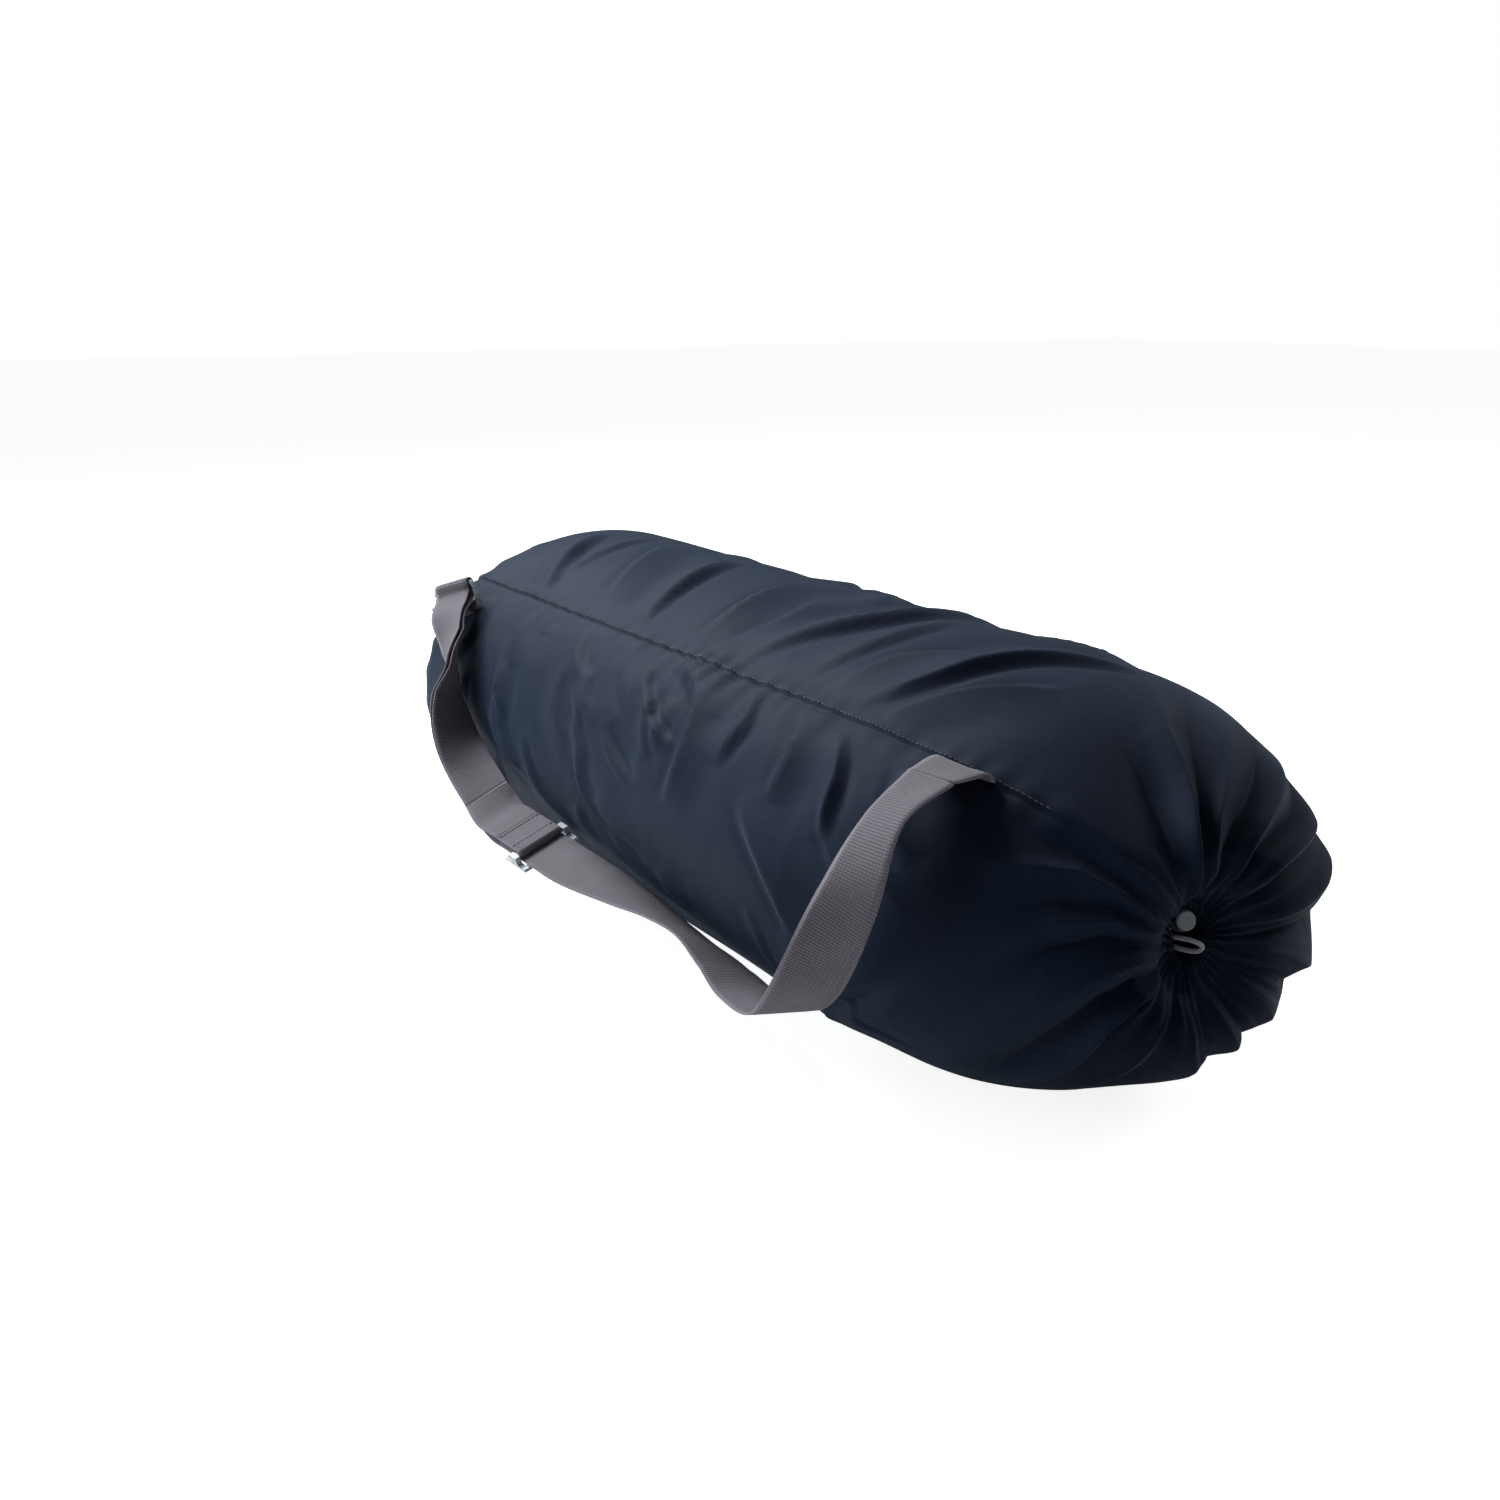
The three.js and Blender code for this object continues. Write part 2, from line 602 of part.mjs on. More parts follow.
function strapHem() {
  const steps = 6;
  const turn = Array.from({ length: steps + 1 }, (_, i) => {
    const a = Math.PI / 2 + (Math.PI * i) / steps;
    return [HEM_R * Math.cos(a) - 0.9, HEM_MIDDLE + HEM_R * Math.sin(a)];
  });
  const route = [[HEM_LENGTH, HEM_MIDDLE + HEM_R], ...turn, [HEM_LENGTH, HEM_MIDDLE - HEM_R]];
  const rings = route.map(([x, z], i) => {
    const before = route[Math.max(i - 1, 0)];
    const after = route[Math.min(i + 1, route.length - 1)];
    const length = Math.hypot(after[0] - before[0], after[1] - before[1]);
    const normal = [-(after[1] - before[1]) / length, (after[0] - before[0]) / length];
    const half = WEB_THICK / 2;
    const corner = (w, n) => V(x + n * normal[0] * half, (w * WEB_WIDTH) / 2, z + n * normal[1] * half);
    return [corner(-1, -1), corner(1, -1), corner(1, 1), corner(-1, 1)];
  });
  return sliderPlaced(loft(rings));
}

function hemStitch(along) {
  const top = HEM_MIDDLE + HEM_R + WEB_THICK / 2 + 0.3;
  return sliderPlaced(block([along - 0.6, -13, top], [along + 0.6, 13, top + 0.5]));
}

// ---- rectangular loop and its tab ------------------------------------------------------------
const DROP = LOOP_DROP.clone().addScaledVector(LOOP_ACROSS, -LOOP_DROP.dot(LOOP_ACROSS)).normalize();

function rectangularLoop() {
  const halfAcross = LOOP_INNER_WIDTH / 2 + LOOP_WIRE_R;
  const corner = 4;
  const cornerSteps = 4;
  const rings = [];
  [[1, 1], [-1, 1], [-1, -1], [1, -1]].forEach(([sx, sy], quarter) => {
    for (let i = 0; i <= cornerSteps; i++) {
      const a = (Math.PI / 2) * (quarter + i / cornerSteps);
      const outward = LOOP_ACROSS.clone().multiplyScalar(Math.cos(a)).addScaledVector(DROP, Math.sin(a));
      const centre = LOOP_BAR.clone()
        .addScaledVector(LOOP_ACROSS, sx * (halfAcross - corner))
        .addScaledVector(DROP, LOOP_BAR_SPACING / 2 + sy * (LOOP_BAR_SPACING / 2 - corner))
        .addScaledVector(outward, corner);
      const square = new THREE.Vector3().crossVectors(LOOP_ACROSS, DROP);
      rings.push(circleRing(centre, outward, square, LOOP_WIRE_R, 10));
    }
  });
  return loft(rings, true);
}

const TAB_TURN_R = 3.3;
const TAB_REACH = 1.5;
const TAB_BAR = LOOP_BAR.clone().addScaledVector(DROP, LOOP_BAR_SPACING);
const TAB_TO_BAG = V(-0.45, 0.89, 0.02).normalize();
const TAB_NORMAL = new THREE.Vector3().crossVectors(LOOP_ACROSS, TAB_TO_BAG).normalize();

// Short doubled strip round the loop's lower bar, open towards the bag.
function loopTab() {
  const around = (side, back) =>
    TAB_BAR.clone().addScaledVector(TAB_NORMAL, side).addScaledVector(TAB_TO_BAG, back);
  const turn = [-90, -120, -150, 180, 150, 120, 90].map((degrees) => {
    const a = rad(degrees);
    return around(TAB_TURN_R * Math.sin(a), TAB_TURN_R * Math.cos(a));
  });
  const route = [around(-TAB_TURN_R, TAB_REACH), ...turn, around(TAB_TURN_R, TAB_REACH)];
  return webbing(route.map((p) => [p, LOOP_ACROSS]), 24);
}

// Doubled webbing sewn into the base seam, just behind the tab.
function tabRoot() {
  const start = V(-330.2, -85.5, 158);
  const end = start.clone().addScaledVector(V(1, 0.05, 0.1), 4);
  const across = V(0, 0.98, 0.2);
  return webbing([[start, across], [end, across]], 1, 4);
}

// The strap's end turned inside the bag and stitched flat under the lengthwise seam.
function anchorRoot() {
  const stations = innerProfile(bodyProfile()).filter((p) => p.x > 201 && p.x < 246);
  const half = rad(5);
  const rings = stations.map((p) => [
    insidePoint(p, rad(SEAM_ANGLE) - half, TAPE_GAP),
    insidePoint(p, rad(SEAM_ANGLE) + half, TAPE_GAP),
    insidePoint(p, rad(SEAM_ANGLE) + half, TAPE_GAP + WEB_THICK),
    insidePoint(p, rad(SEAM_ANGLE) - half, TAPE_GAP + WEB_THICK),
  ]);
  return loft(rings);
}

add('body_panel', bodyPanel(), NAVY());
add('base_panel', basePanel(), NAVY());
add('side_seam_binding', sideSeamBinding(), NAVY_TAPE());
add('base_seam_binding', baseSeamBinding(), NAVY_TAPE());
add('mouth_casing', mouthCasing(), NAVY());
add('drawcord', drawcord(), CORD_GREY());
add('drawcord_tail_out', tube(LOOP_OUT, CORD, 38), CORD_GREY());
add('drawcord_tail_back', tube(LOOP_BACK, CORD, 28), CORD_GREY());
add('drawcord_coil', drawcordCoil(), CORD_GREY());
add('cord_lock_barrel', lockBarrel(), DARK_PLASTIC());
add('cord_lock_button', lockButton(), PALE_PLASTIC());
add('cord_lock_spring', lockSpring(), STEEL());
add('shoulder_webbing', shoulderWebbing(), WEBBING());
add('strap_slider', slider(), PALE_PLASTIC());
add('strap_hem', strapHem(), WEBBING());
add('hem_stitch_inner', hemStitch(6), THREAD());
add('hem_stitch_outer', hemStitch(HEM_LENGTH - 2), THREAD());
add('anchor_root', anchorRoot(), WEBBING());
add('tab_root', tabRoot(), WEBBING());
add('strap_loop', rectangularLoop(), PALE_PLASTIC());
add('loop_tab', loopTab(), WEBBING());

export default bag;
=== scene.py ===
"""Looks of the rope storage bag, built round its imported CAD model.

Metres, in the CAD's own frame: X runs along the bag towards its mouth, the strap is on the -Y side and
Z is up. The folds, creases and puckers are shaped by formula, with seeded draws where they repeat.
"""
import math

import bpy
import numpy as np
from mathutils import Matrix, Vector


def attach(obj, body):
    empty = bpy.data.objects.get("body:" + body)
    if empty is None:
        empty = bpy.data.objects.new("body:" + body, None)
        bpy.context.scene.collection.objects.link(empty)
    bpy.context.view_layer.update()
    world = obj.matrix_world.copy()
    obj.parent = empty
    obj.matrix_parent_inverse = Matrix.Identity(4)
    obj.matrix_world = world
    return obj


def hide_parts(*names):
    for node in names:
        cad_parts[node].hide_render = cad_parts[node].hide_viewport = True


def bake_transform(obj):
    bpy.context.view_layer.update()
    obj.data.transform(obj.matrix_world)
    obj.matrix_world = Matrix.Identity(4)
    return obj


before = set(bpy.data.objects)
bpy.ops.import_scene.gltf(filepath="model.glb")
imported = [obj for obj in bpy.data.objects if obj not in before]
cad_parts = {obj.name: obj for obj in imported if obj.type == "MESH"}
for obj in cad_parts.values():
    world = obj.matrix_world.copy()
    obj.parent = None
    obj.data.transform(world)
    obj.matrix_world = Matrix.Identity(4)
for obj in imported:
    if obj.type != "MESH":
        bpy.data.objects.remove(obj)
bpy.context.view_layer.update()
scene = bpy.context.scene
MM = 0.001

# ---- dimensions shared with the CAD, in millimetres ------------------------------------------
WIDTH, HEIGHT, FLAT_SINK = 270.0, 208.0, 4.0
HALF = WIDTH / 2
SEAM_ANGLE = 132.0
MOUTH = np.array([288.0, -10.7, 102.8])
CASING_R = 17.5
CORD = 2.2
WEB_WIDTH, WEB_THICK = 30.0, 1.2


def unit(v):
    v = np.asarray(v, float)
    return v / np.linalg.norm(v)


LOCK_FACE = np.array([291.0, -17.2, 114.6])
LOCK_AXIS = unit([0.88, -0.36, 0.3])
CORD_DIR = np.array([-0.176, -0.849, -0.499])
CORD_DIR = unit(CORD_DIR - LOCK_AXIS * (CORD_DIR @ LOCK_AXIS))
CORD_SIDE = np.cross(CORD_DIR, LOCK_AXIS)
LOCK_MIDDLE = LOCK_FACE - 11 * LOCK_AXIS
LOCK_EXIT = 6.7
CORD_OFFSET = 1.35

SLIDER = np.array([-92.0, -147.0, 58.0])
SLIDER_ALONG = unit([-0.997, -0.065, 0.045])
SLIDER_ACROSS = unit([-0.05, 0.93, 0.36])
LOOP_BAR = np.array([-281.0, -119.0, 182.0])
LOOP_ACROSS = unit([-0.853, -0.422, -0.3])
SLIDER_UP = unit(np.cross(SLIDER_ACROSS, SLIDER_ALONG))
LOOP_NORMAL = unit(np.cross(LOOP_ACROSS, [0, 0, 1]))
LOOP_UP = unit(np.cross(LOOP_NORMAL, LOOP_ACROSS))
LOOP_BAR_SPACING = 17
LEG_TURN_R = 3.3
TAB_TURN_R = 3.3
TAB_ROOT = np.array([-324.0, -97.0, 166.0])
TAB_BEND = np.array([-306.0, -113.0, 167.5])
HEM_LENGTH, HEM_R, HEM_MIDDLE = 25.0, 1.85, 3.4

BODY_REACH = 118.0  # mean radius that turns degrees round the bag into mm
BASE_GATHERS = 34
HEM_GATHERS = 28


# ---- camera -----------------------------------------------------------------------------------
def make_camera():
    yaw, pitch = math.radians(148.07), math.radians(-16.09)
    forward = Vector((math.cos(pitch) * math.cos(yaw), math.cos(pitch) * math.sin(yaw), math.sin(pitch)))
    data = bpy.data.cameras.new("camera")
    data.sensor_width = 36.0
    data.lens = 38.4
    data.clip_start = 0.02
    data.clip_end = 60
    camera = bpy.data.objects.new("camera", data)
    camera.location = (0.7362, -0.5164, 0.3763)
    camera.rotation_euler = forward.to_track_quat("-Z", "Y").to_euler()
    scene.collection.objects.link(camera)
    scene.camera = camera


# ---- node materials ---------------------------------------------------------------------------
class Nodes:
    """A material's node tree, with short calls for the nodes used here."""

    def __init__(self, name):
        self.material = bpy.data.materials.new(name)
        self.material.use_nodes = True
        self.tree = self.material.node_tree
        self.shader = self.tree.nodes["Principled BSDF"]

    def add(self, kind, inputs=None, **settings):
        node = self.tree.nodes.new(kind)
        for key, value in settings.items():
            setattr(node, key, value)
        for key, value in (inputs or {}).items():
            self.set(node.inputs[key], value)
        return node

    def set(self, socket, value):
        if isinstance(value, bpy.types.NodeSocket):
            self.tree.links.new(value, socket)
        else:
            socket.default_value = value

    def math(self, operation, a, b=0.0, c=None):
        node = self.add("ShaderNodeMath", operation=operation)
        self.set(node.inputs[0], a)
        self.set(node.inputs[1], b)
        if c is not None:
            self.set(node.inputs[2], c)
        return node.outputs[0]

    def noise(self, vector, scale, detail=3.0, roughness=0.5):
        node = self.add("ShaderNodeTexNoise", {"Scale": scale, "Detail": detail, "Roughness": roughness})
        self.set(node.inputs["Vector"], vector)
        return node.outputs["Fac"]

    def ramp(self, factor, low, high, start=0.0, end=1.0):
        node = self.add("ShaderNodeValToRGB")
        stops = node.color_ramp.elements
        stops[0].position, stops[0].color = start, (*low, 1)
        stops[1].position, stops[1].color = end, (*high, 1)
        self.set(node.inputs[0], factor)
        return node.outputs[0]

    def mix(self, factor, a, b, blend="MIX"):
        node = self.add("ShaderNodeMix", data_type="RGBA", blend_type=blend)
        self.set(node.inputs[0], factor)
        self.set(node.inputs[6], a)
        self.set(node.inputs[7], b)
        return node.outputs[2]

    def bump(self, height, distance, strength=1.0, normal=None):
        node = self.add("ShaderNodeBump", {"Distance": distance, "Strength": strength, "Height": height})
        if normal is not None:
            self.set(node.inputs["Normal"], normal)
        return node.outputs[0]

    def uniform(self, **values):
        for key, value in values.items():
            self.shader.inputs[key.replace("_", " ")].default_value = value


def threads(n, coordinate, pitch, sharpness=1.0):
    """Height of parallel threads across a coordinate in metres, 0 between threads and 1 on them."""
    wave = n.math("SINE", n.math("MULTIPLY", coordinate, math.pi / pitch))
    height = n.math("ABSOLUTE", wave)
    return n.math("POWER", height, sharpness)


def cloth_material():
    """Plain-woven navy nylon: fine threads both ways, a soft sheen, slight uneven dye and pressed creases."""
    n = Nodes("bag_cloth")
    uv = n.add("ShaderNodeUVMap", uv_map="metres").outputs[0]
    parts = n.add("ShaderNodeSeparateXYZ", {0: uv}).outputs
    position = n.add("ShaderNodeTexCoord").outputs["Object"]
    warp = threads(n, parts[0], 0.00075)
    weft = threads(n, parts[1], 0.0009)
    weave = n.math("MULTIPLY", n.math("ADD", warp, weft), 0.5)
    slub = n.noise(n.add("ShaderNodeMapping", {0: uv, "Scale": (14.0, 900.0, 1.0)}).outputs[0], 1.0, 2.0)
    cloudy = n.noise(position, 9.0, 4.0, 0.6)
    dye = n.ramp(cloudy, (0.0030, 0.0058, 0.0150), (0.0048, 0.0086, 0.0205), 0.3, 0.75)
    # The threads' tops are painted lighter than the gaps between them: painted shade between the threads.
    weave_with_painted_shade = n.mix(n.math("MULTIPLY", weave, 0.35), dye, (0.0085, 0.0140, 0.0290, 1))
    slubbed = n.mix(n.math("MULTIPLY", slub, 0.18), weave_with_painted_shade, (0.0120, 0.0180, 0.0340, 1))
    n.set(n.shader.inputs["Base Color"], slubbed)
    rough = n.math("MULTIPLY_ADD", n.noise(position, 40.0, 3.0), 0.12, 0.6)
    n.set(n.shader.inputs["Roughness"], rough)
    rumple = n.bump(n.noise(position, 55.0, 3.0, 0.55), 0.0009, 0.35)
    fine = n.bump(n.noise(uv, 260.0, 2.0), 0.0003, 0.25, rumple)
    n.set(n.shader.inputs["Normal"], n.bump(weave, 0.00016, 0.55, fine))
    n.uniform(Specular_Tint=(0.45, 0.64, 1.0, 1), Specular_IOR_Level=0.15, Sheen_Weight=0.1,
              Sheen_Roughness=0.45, Sheen_Tint=(0.45, 0.6, 0.85, 1))
    return n.material


def webbing_material(name, cross_pitch, along_pitch, tint):
    """Ribbed polyester webbing. UV is metres across and along the strip, 0 at the middle of its width."""
    n = Nodes(name)
    uv = n.add("ShaderNodeUVMap", uv_map="metres").outputs[0]
    parts = n.add("ShaderNodeSeparateXYZ", {0: uv}).outputs
    cross = threads(n, parts[1], cross_pitch, 0.8)
    along = threads(n, parts[0], along_pitch, 0.8)
    ribs = n.math("MULTIPLY", cross, n.math("MULTIPLY_ADD", along, 0.45, 0.55))
    edge = n.math("SUBTRACT", n.math("ABSOLUTE", parts[0]), WEB_WIDTH / 2 * MM - 0.0018)
    selvedge = n.math("GREATER_THAN", edge, 0.0)
    position = n.add("ShaderNodeTexCoord").outputs["Object"]
    shade = n.ramp(n.noise(position, 60.0, 3.0), [t * 0.86 for t in tint], [t * 1.12 for t in tint], 0.3, 0.7)
    # The gaps between the ribs are painted at a third of the webbing's colour: painted shade in the recesses.
    rib_gaps_painted_shade = n.mix(ribs, [t * 0.34 for t in tint] + [1], shade)
    pale = [min(1.0, t * 1.55 + 0.01) for t in tint] + [1]
    n.set(n.shader.inputs["Base Color"], n.mix(n.math("MULTIPLY", selvedge, 0.55), rib_gaps_painted_shade, pale))
    fuzz = n.noise(position, 1800.0, 2.0)
    height = n.math("MULTIPLY_ADD", fuzz, 0.22, ribs)
    n.set(n.shader.inputs["Normal"], n.bump(height, 0.0004, 0.8))
    n.uniform(Roughness=0.74, Sheen_Weight=0.35, Sheen_Roughness=0.5, Sheen_Tint=(0.8, 0.78, 0.86, 1))
    return n.material


def plastic_material(name, colour, roughness, translucent=0.0):
    """Moulded plastic: faint mould texture, scuffs that roughen it and slightly uneven colour."""
    n = Nodes(name)
    position = n.add("ShaderNodeTexCoord").outputs["Object"]
    patches = n.noise(position, 220.0, 4.0, 0.6)
    n.set(n.shader.inputs["Base Color"], n.ramp(patches, [c * 0.88 for c in colour], colour, 0.3, 0.7))
    stretched = n.add("ShaderNodeMapping", {0: position, "Scale": (1, 7, 1)}).outputs[0]
    scuffs = n.noise(stretched, 500.0, 5.0, 0.7)
    n.set(n.shader.inputs["Roughness"], n.math("MULTIPLY_ADD", scuffs, 0.22, roughness))
    n.set(n.shader.inputs["Normal"], n.bump(n.noise(position, 1500.0, 2.0), 0.00005, 0.4))
    n.uniform(Coat_Weight=0.15, Coat_Roughness=0.2, Subsurface_Weight=translucent, Subsurface_Scale=0.002)
    return n.material


def thread_material(name, colour, pitch):
    """Twisted thread or braided cord: slanting strands in object space."""
    n = Nodes(name)
    position = n.add("ShaderNodeTexCoord").outputs["Object"]
    sockets = {0: position, "Scale": 0.31 / pitch, "Distortion": 1.5, "Detail": 1.0}
    strands = n.add("ShaderNodeTexWave", sockets, wave_type="BANDS",
                    bands_direction="DIAGONAL").outputs["Fac"]
    # The grooves between the strands are painted at about half the colour: painted shade in the grooves.
    n.set(n.shader.inputs["Base Color"], n.ramp(strands, [c * 0.55 for c in colour], colour, 0.1, 0.7))
    n.set(n.shader.inputs["Normal"], n.bump(strands, 0.0002, 0.7))
    n.uniform(Roughness=0.7, Sheen_Weight=0.3, Sheen_Roughness=0.5)
    return n.material


def steel_material():
    n = Nodes("spring_steel")
    position = n.add("ShaderNodeTexCoord").outputs["Object"]
    drawn = n.noise(position, 900.0, 3.0)
    n.set(n.shader.inputs["Base Color"], n.ramp(drawn, (0.42, 0.43, 0.44), (0.6, 0.61, 0.62), 0.3, 0.7))
    n.set(n.shader.inputs["Roughness"], n.math("MULTIPLY_ADD", drawn, 0.2, 0.22))
    n.uniform(Metallic=1.0)
    return n.material


# ---- mesh helpers -----------------------------------------------------------------------------
def mesh_object(name, points, faces, material, uv=None, smooth=True):
    """points in millimetres; uv is one (u, v) in metres for every corner of every face."""
    mesh = bpy.data.meshes.new(name)
    mesh.from_pydata((np.asarray(points, float) * MM).tolist(), [], [list(map(int, f)) for f in faces])
    if uv is not None:
        layer = mesh.uv_layers.new(name="metres")
        layer.data.foreach_set("uv", np.asarray(uv, np.float32).ravel())
    mesh.materials.append(material)
    mesh.polygons.foreach_set("use_smooth", [smooth] * len(mesh.polygons))
    mesh.update()
    obj = bpy.data.objects.new(name, mesh)
    scene.collection.objects.link(obj)
    return obj


def grid_faces(rows, columns, wrap=False):
    """Quads over a grid of points stored row by row; wrap joins the last column to the first."""
    r = np.arange(rows - 1)[:, None]
    c = np.arange(columns if wrap else columns - 1)[None, :]
    d = (c + 1) % columns
    a = r * columns + c
    faces = np.stack([a, r * columns + d, (r + 1) * columns + d, (r + 1) * columns + c], -1)
    return faces.reshape(-1, 4)


def grid_uv(u, v):
    """Corner UVs for grid_faces from u by column and v by row. u has one more value when the grid wraps."""
    rows = len(v)
    columns = len(u) - 1
    r = np.arange(rows - 1)[:, None]
    c = np.arange(columns)[None, :]
    corners = [(r, c), (r, c + 1), (r + 1, c + 1), (r + 1, c)]
    pairs = [np.stack([u[j] + 0 * v[i], v[i] + 0 * u[j]], -1) for i, j in corners]
    return np.stack(pairs, 2).reshape(-1, 2)


def smoothstep(x, low, high):
    t = np.clip((np.asarray(x, float) - low) / (high - low), 0, 1)
    return t * t * (3 - 2 * t)


def catmull_rom(points, count):
    """Centripetal Catmull-Rom curve through the points, sampled evenly by index."""
    p = np.asarray(points, float)
    first = 2 * p[0] - p[1]
    last = 2 * p[-1] - p[-2]
    p = np.vstack([first, p, last])
    out = []
    spans = len(p) - 3
    for k in range(count):
        at = spans * k / (count - 1)
        i = min(int(at), spans - 1)
        w = at - i
        p0, p1, p2, p3 = p[i:i + 4]
        d = [max(np.linalg.norm(b - a), 1e-6) ** 0.5 for a, b in ((p0, p1), (p1, p2), (p2, p3))]
        t0, t1 = 0.0, d[0]
        t2, t3 = t1 + d[1], t1 + d[1] + d[2]
        t = t1 + w * (t2 - t1)
        a1 = (t1 - t) / (t1 - t0) * p0 + (t - t0) / (t1 - t0) * p1
        a2 = (t2 - t) / (t2 - t1) * p1 + (t - t1) / (t2 - t1) * p2
        a3 = (t3 - t) / (t3 - t2) * p2 + (t - t2) / (t3 - t2) * p3
        b1 = (t2 - t) / (t2 - t0) * a1 + (t - t0) / (t2 - t0) * a2
        b2 = (t3 - t) / (t3 - t1) * a2 + (t - t1) / (t3 - t1) * a3
        out.append((t2 - t) / (t2 - t1) * b1 + (t - t1) / (t2 - t1) * b2)
    return np.array(out)


def even_steps(curve, count):
    """The same curve with points at equal distances along it."""
    lengths = np.r_[0, np.cumsum(np.linalg.norm(np.diff(curve, axis=0), axis=1))]
    at = np.linspace(0, lengths[-1], count)
    return np.stack([np.interp(at, lengths, curve[:, i]) for i in range(curve.shape[1])], -1)


def cord_mesh(name, points, diameter, material, sides=10):
    """A round cord through the points, in millimetres, as a mesh tube."""
    p = np.asarray(points, float)
    forward = np.gradient(p, axis=0)
    forward /= np.linalg.norm(forward, axis=1, keepdims=True)
    side = unit(np.cross(forward[0], [0.3, 0.2, 1]))
    rings = []
    for at, f in zip(p, forward):
        side = unit(side - f * (side @ f))
        up = np.cross(f, side)
        a = np.arange(sides) * 2 * math.pi / sides
        rings.append(at + diameter / 2 * (np.cos(a)[:, None] * side + np.sin(a)[:, None] * up))
    faces = [list(f) for f in grid_faces(len(p), sides, wrap=True)]
    faces += [list(range(sides))[::-1], [(len(p) - 1) * sides + i for i in range(sides)]]
    return mesh_object(name, np.array(rings).reshape(-1, 3), faces, material)


def curve_object(name, points, diameter, material):
    """A round cord through the points, in millimetres."""
    data = bpy.data.curves.new(name, "CURVE")
    data.dimensions = "3D"
    data.bevel_depth = diameter / 2 * MM
    data.bevel_resolution = 3
    spline = data.splines.new("POLY")
    spline.points.add(len(points) - 1)
    for point, p in zip(spline.points, points):
        point.co = (*(np.asarray(p) * MM), 1)
    data.materials.append(material)
    obj = bpy.data.objects.new(name, data)
    scene.collection.objects.link(obj)
    return obj


# ---- the bag's cloth --------------------------------------------------------------------------
AROUND = 600
PROFILE = [
    (-322, 0.93), (-315, 0.97), (-300, 1), (150, 1), (215, 0.93), (259, 0.77), (287, 0.58),
    (299, 0.40), (299.5, 0.28), (292, 0.185),
]
# The gathers that run in to the mouth: each crest's angle at seven sizes of the bag's section,
# then how deep its fold is and at which size it starts.
FOLD_SIZES = [1.0, 0.9, 0.8, 0.65, 0.5, 0.35, 0.17]
FOLDS = [
    ([16, 16, 16, 15, 15, 13, 12], 0.9, 0.86),
    ([22, 24, 28, 32, 40, 47, 46], 0.9, 0.94),
    ([36, 38, 44, 56, 67, 76, 72], 1.0, 1.0),
    ([50, 55, 66, 81, 94, 100, 94], 1.1, 1.0),
    ([72, 80, 89, 97, 105, 112, 114], 1.5, 1.0),
    ([130, 130, 128, 131, 135, 138, 134], 0.7, 0.9),
    ([151, 151, 150, 143, 145, 150, 148], 1.0, 0.94),
    ([184, 182, 180, 162, 155, 158, 160], 0.9, 0.82),
    ([222, 214, 201, 188, 178, 172, 176], 1.3, 1.0),
    ([240, 236, 231, 221, 204, 194, 198], 1.2, 0.95),
    ([252, 248, 243, 238, 229, 223, 222], 0.85, 0.88),
    ([268, 268, 268, 267, 264, 255, 250], 0.75, 0.9),
    ([290, 290, 290, 290, 288, 286, 284], 0.6, 0.84),
    ([308, 308, 307, 307, 308, 312, 316], 0.6, 0.82),
    ([332, 332, 333, 333, 335, 342, 346], 0.65, 0.85),
]
FOLD_DEPTH = [0.0, 1.8, 5.2, 10.0, 12.5, 11.0, 5.0]

# Creases of the long sides: points (mm along the bag, degrees round it), width, height.
CREASES = [
    ([(-278, 92), (-245, 110), (-205, 130)], 9, 3.2),
    ([(-208, 84), (-158, 112), (-132, 129)], 8, 2.6),
    ([(-128, 84), (-98, 108), (-79, 128)], 8, 3.4),
    ([(-46, 84), (-26, 110), (-15, 128)], 9, 3.2),
    ([(60, 66), (68, 94), (41, 118), (30, 128)], 10, 3.6),
    ([(160, 98), (126, 110), (112, 126)], 8, 2.6),
    ([(205, 74), (178, 92), (160, 112), (138, 128)], 9, 3.4),
    ([(214, 100), (184, 114), (160, 128)], 8, 2.6),
    ([(-240, 84), (-222, 104), (-214, 124)], 6, 1.8),
    ([(-2, 92), (12, 108), (6, 128)], 7, 1.8),
    ([(96, 84), (100, 104), (88, 126)], 8, 2.0),
    ([(-8, 133), (30, 142), (42, 156), (40, 172)], 9, 3.0),
    ([(-32, 134), (-26, 142), (0, 151)], 6, 2.0),
    ([(-40, 158), (-22, 164), (4, 170)], 7, -2.4),
    ([(70, 134), (78, 143), (72, 156)], 8, 2.6),
    ([(112, 134), (124, 145), (126, 158)], 8, 2.6),
    ([(143, 135), (163, 146), (172, 162)], 8, 2.4),
    ([(104, 160), (118, 166), (146, 178), (160, 190)], 10, 2.4),
    ([(-120, 134), (-112, 142), (-90, 150)], 7, 1.6),
    ([(-190, 134), (-196, 142), (-178, 156)], 8, 1.6),
    ([(-262, 136), (-250, 150), (-262, 166)], 8, 1.8),
    ([(196, 138), (206, 150), (226, 158)], 8, 2.6),
    ([(238, 176), (214, 190), (170, 204), (120, 214)], 12, 3.2),
    ([(230, 196), (190, 208), (140, 220)], 9, 2.4),
]


def bag_point(x, size, angle):
    """Points of the bag's plain surface; angle in radians, size 1 on the full body."""
    roundness = smoothstep(size, 0.15, 0.7)
    toward = np.where(x > 0, 1 - roundness, 0)
    half_width = size * HALF
    half_height = (1 - toward) * size * (HEIGHT + FLAT_SINK) / 2 + toward * half_width
    middle_z = (1 - toward) * (HEIGHT - FLAT_SINK) / 2 + toward * MOUTH[2]
    y = toward * MOUTH[1] + half_width * np.cos(angle)
    z = middle_z + half_height * np.sin(angle)
    return np.stack([x + 0 * angle, y, z], -1)


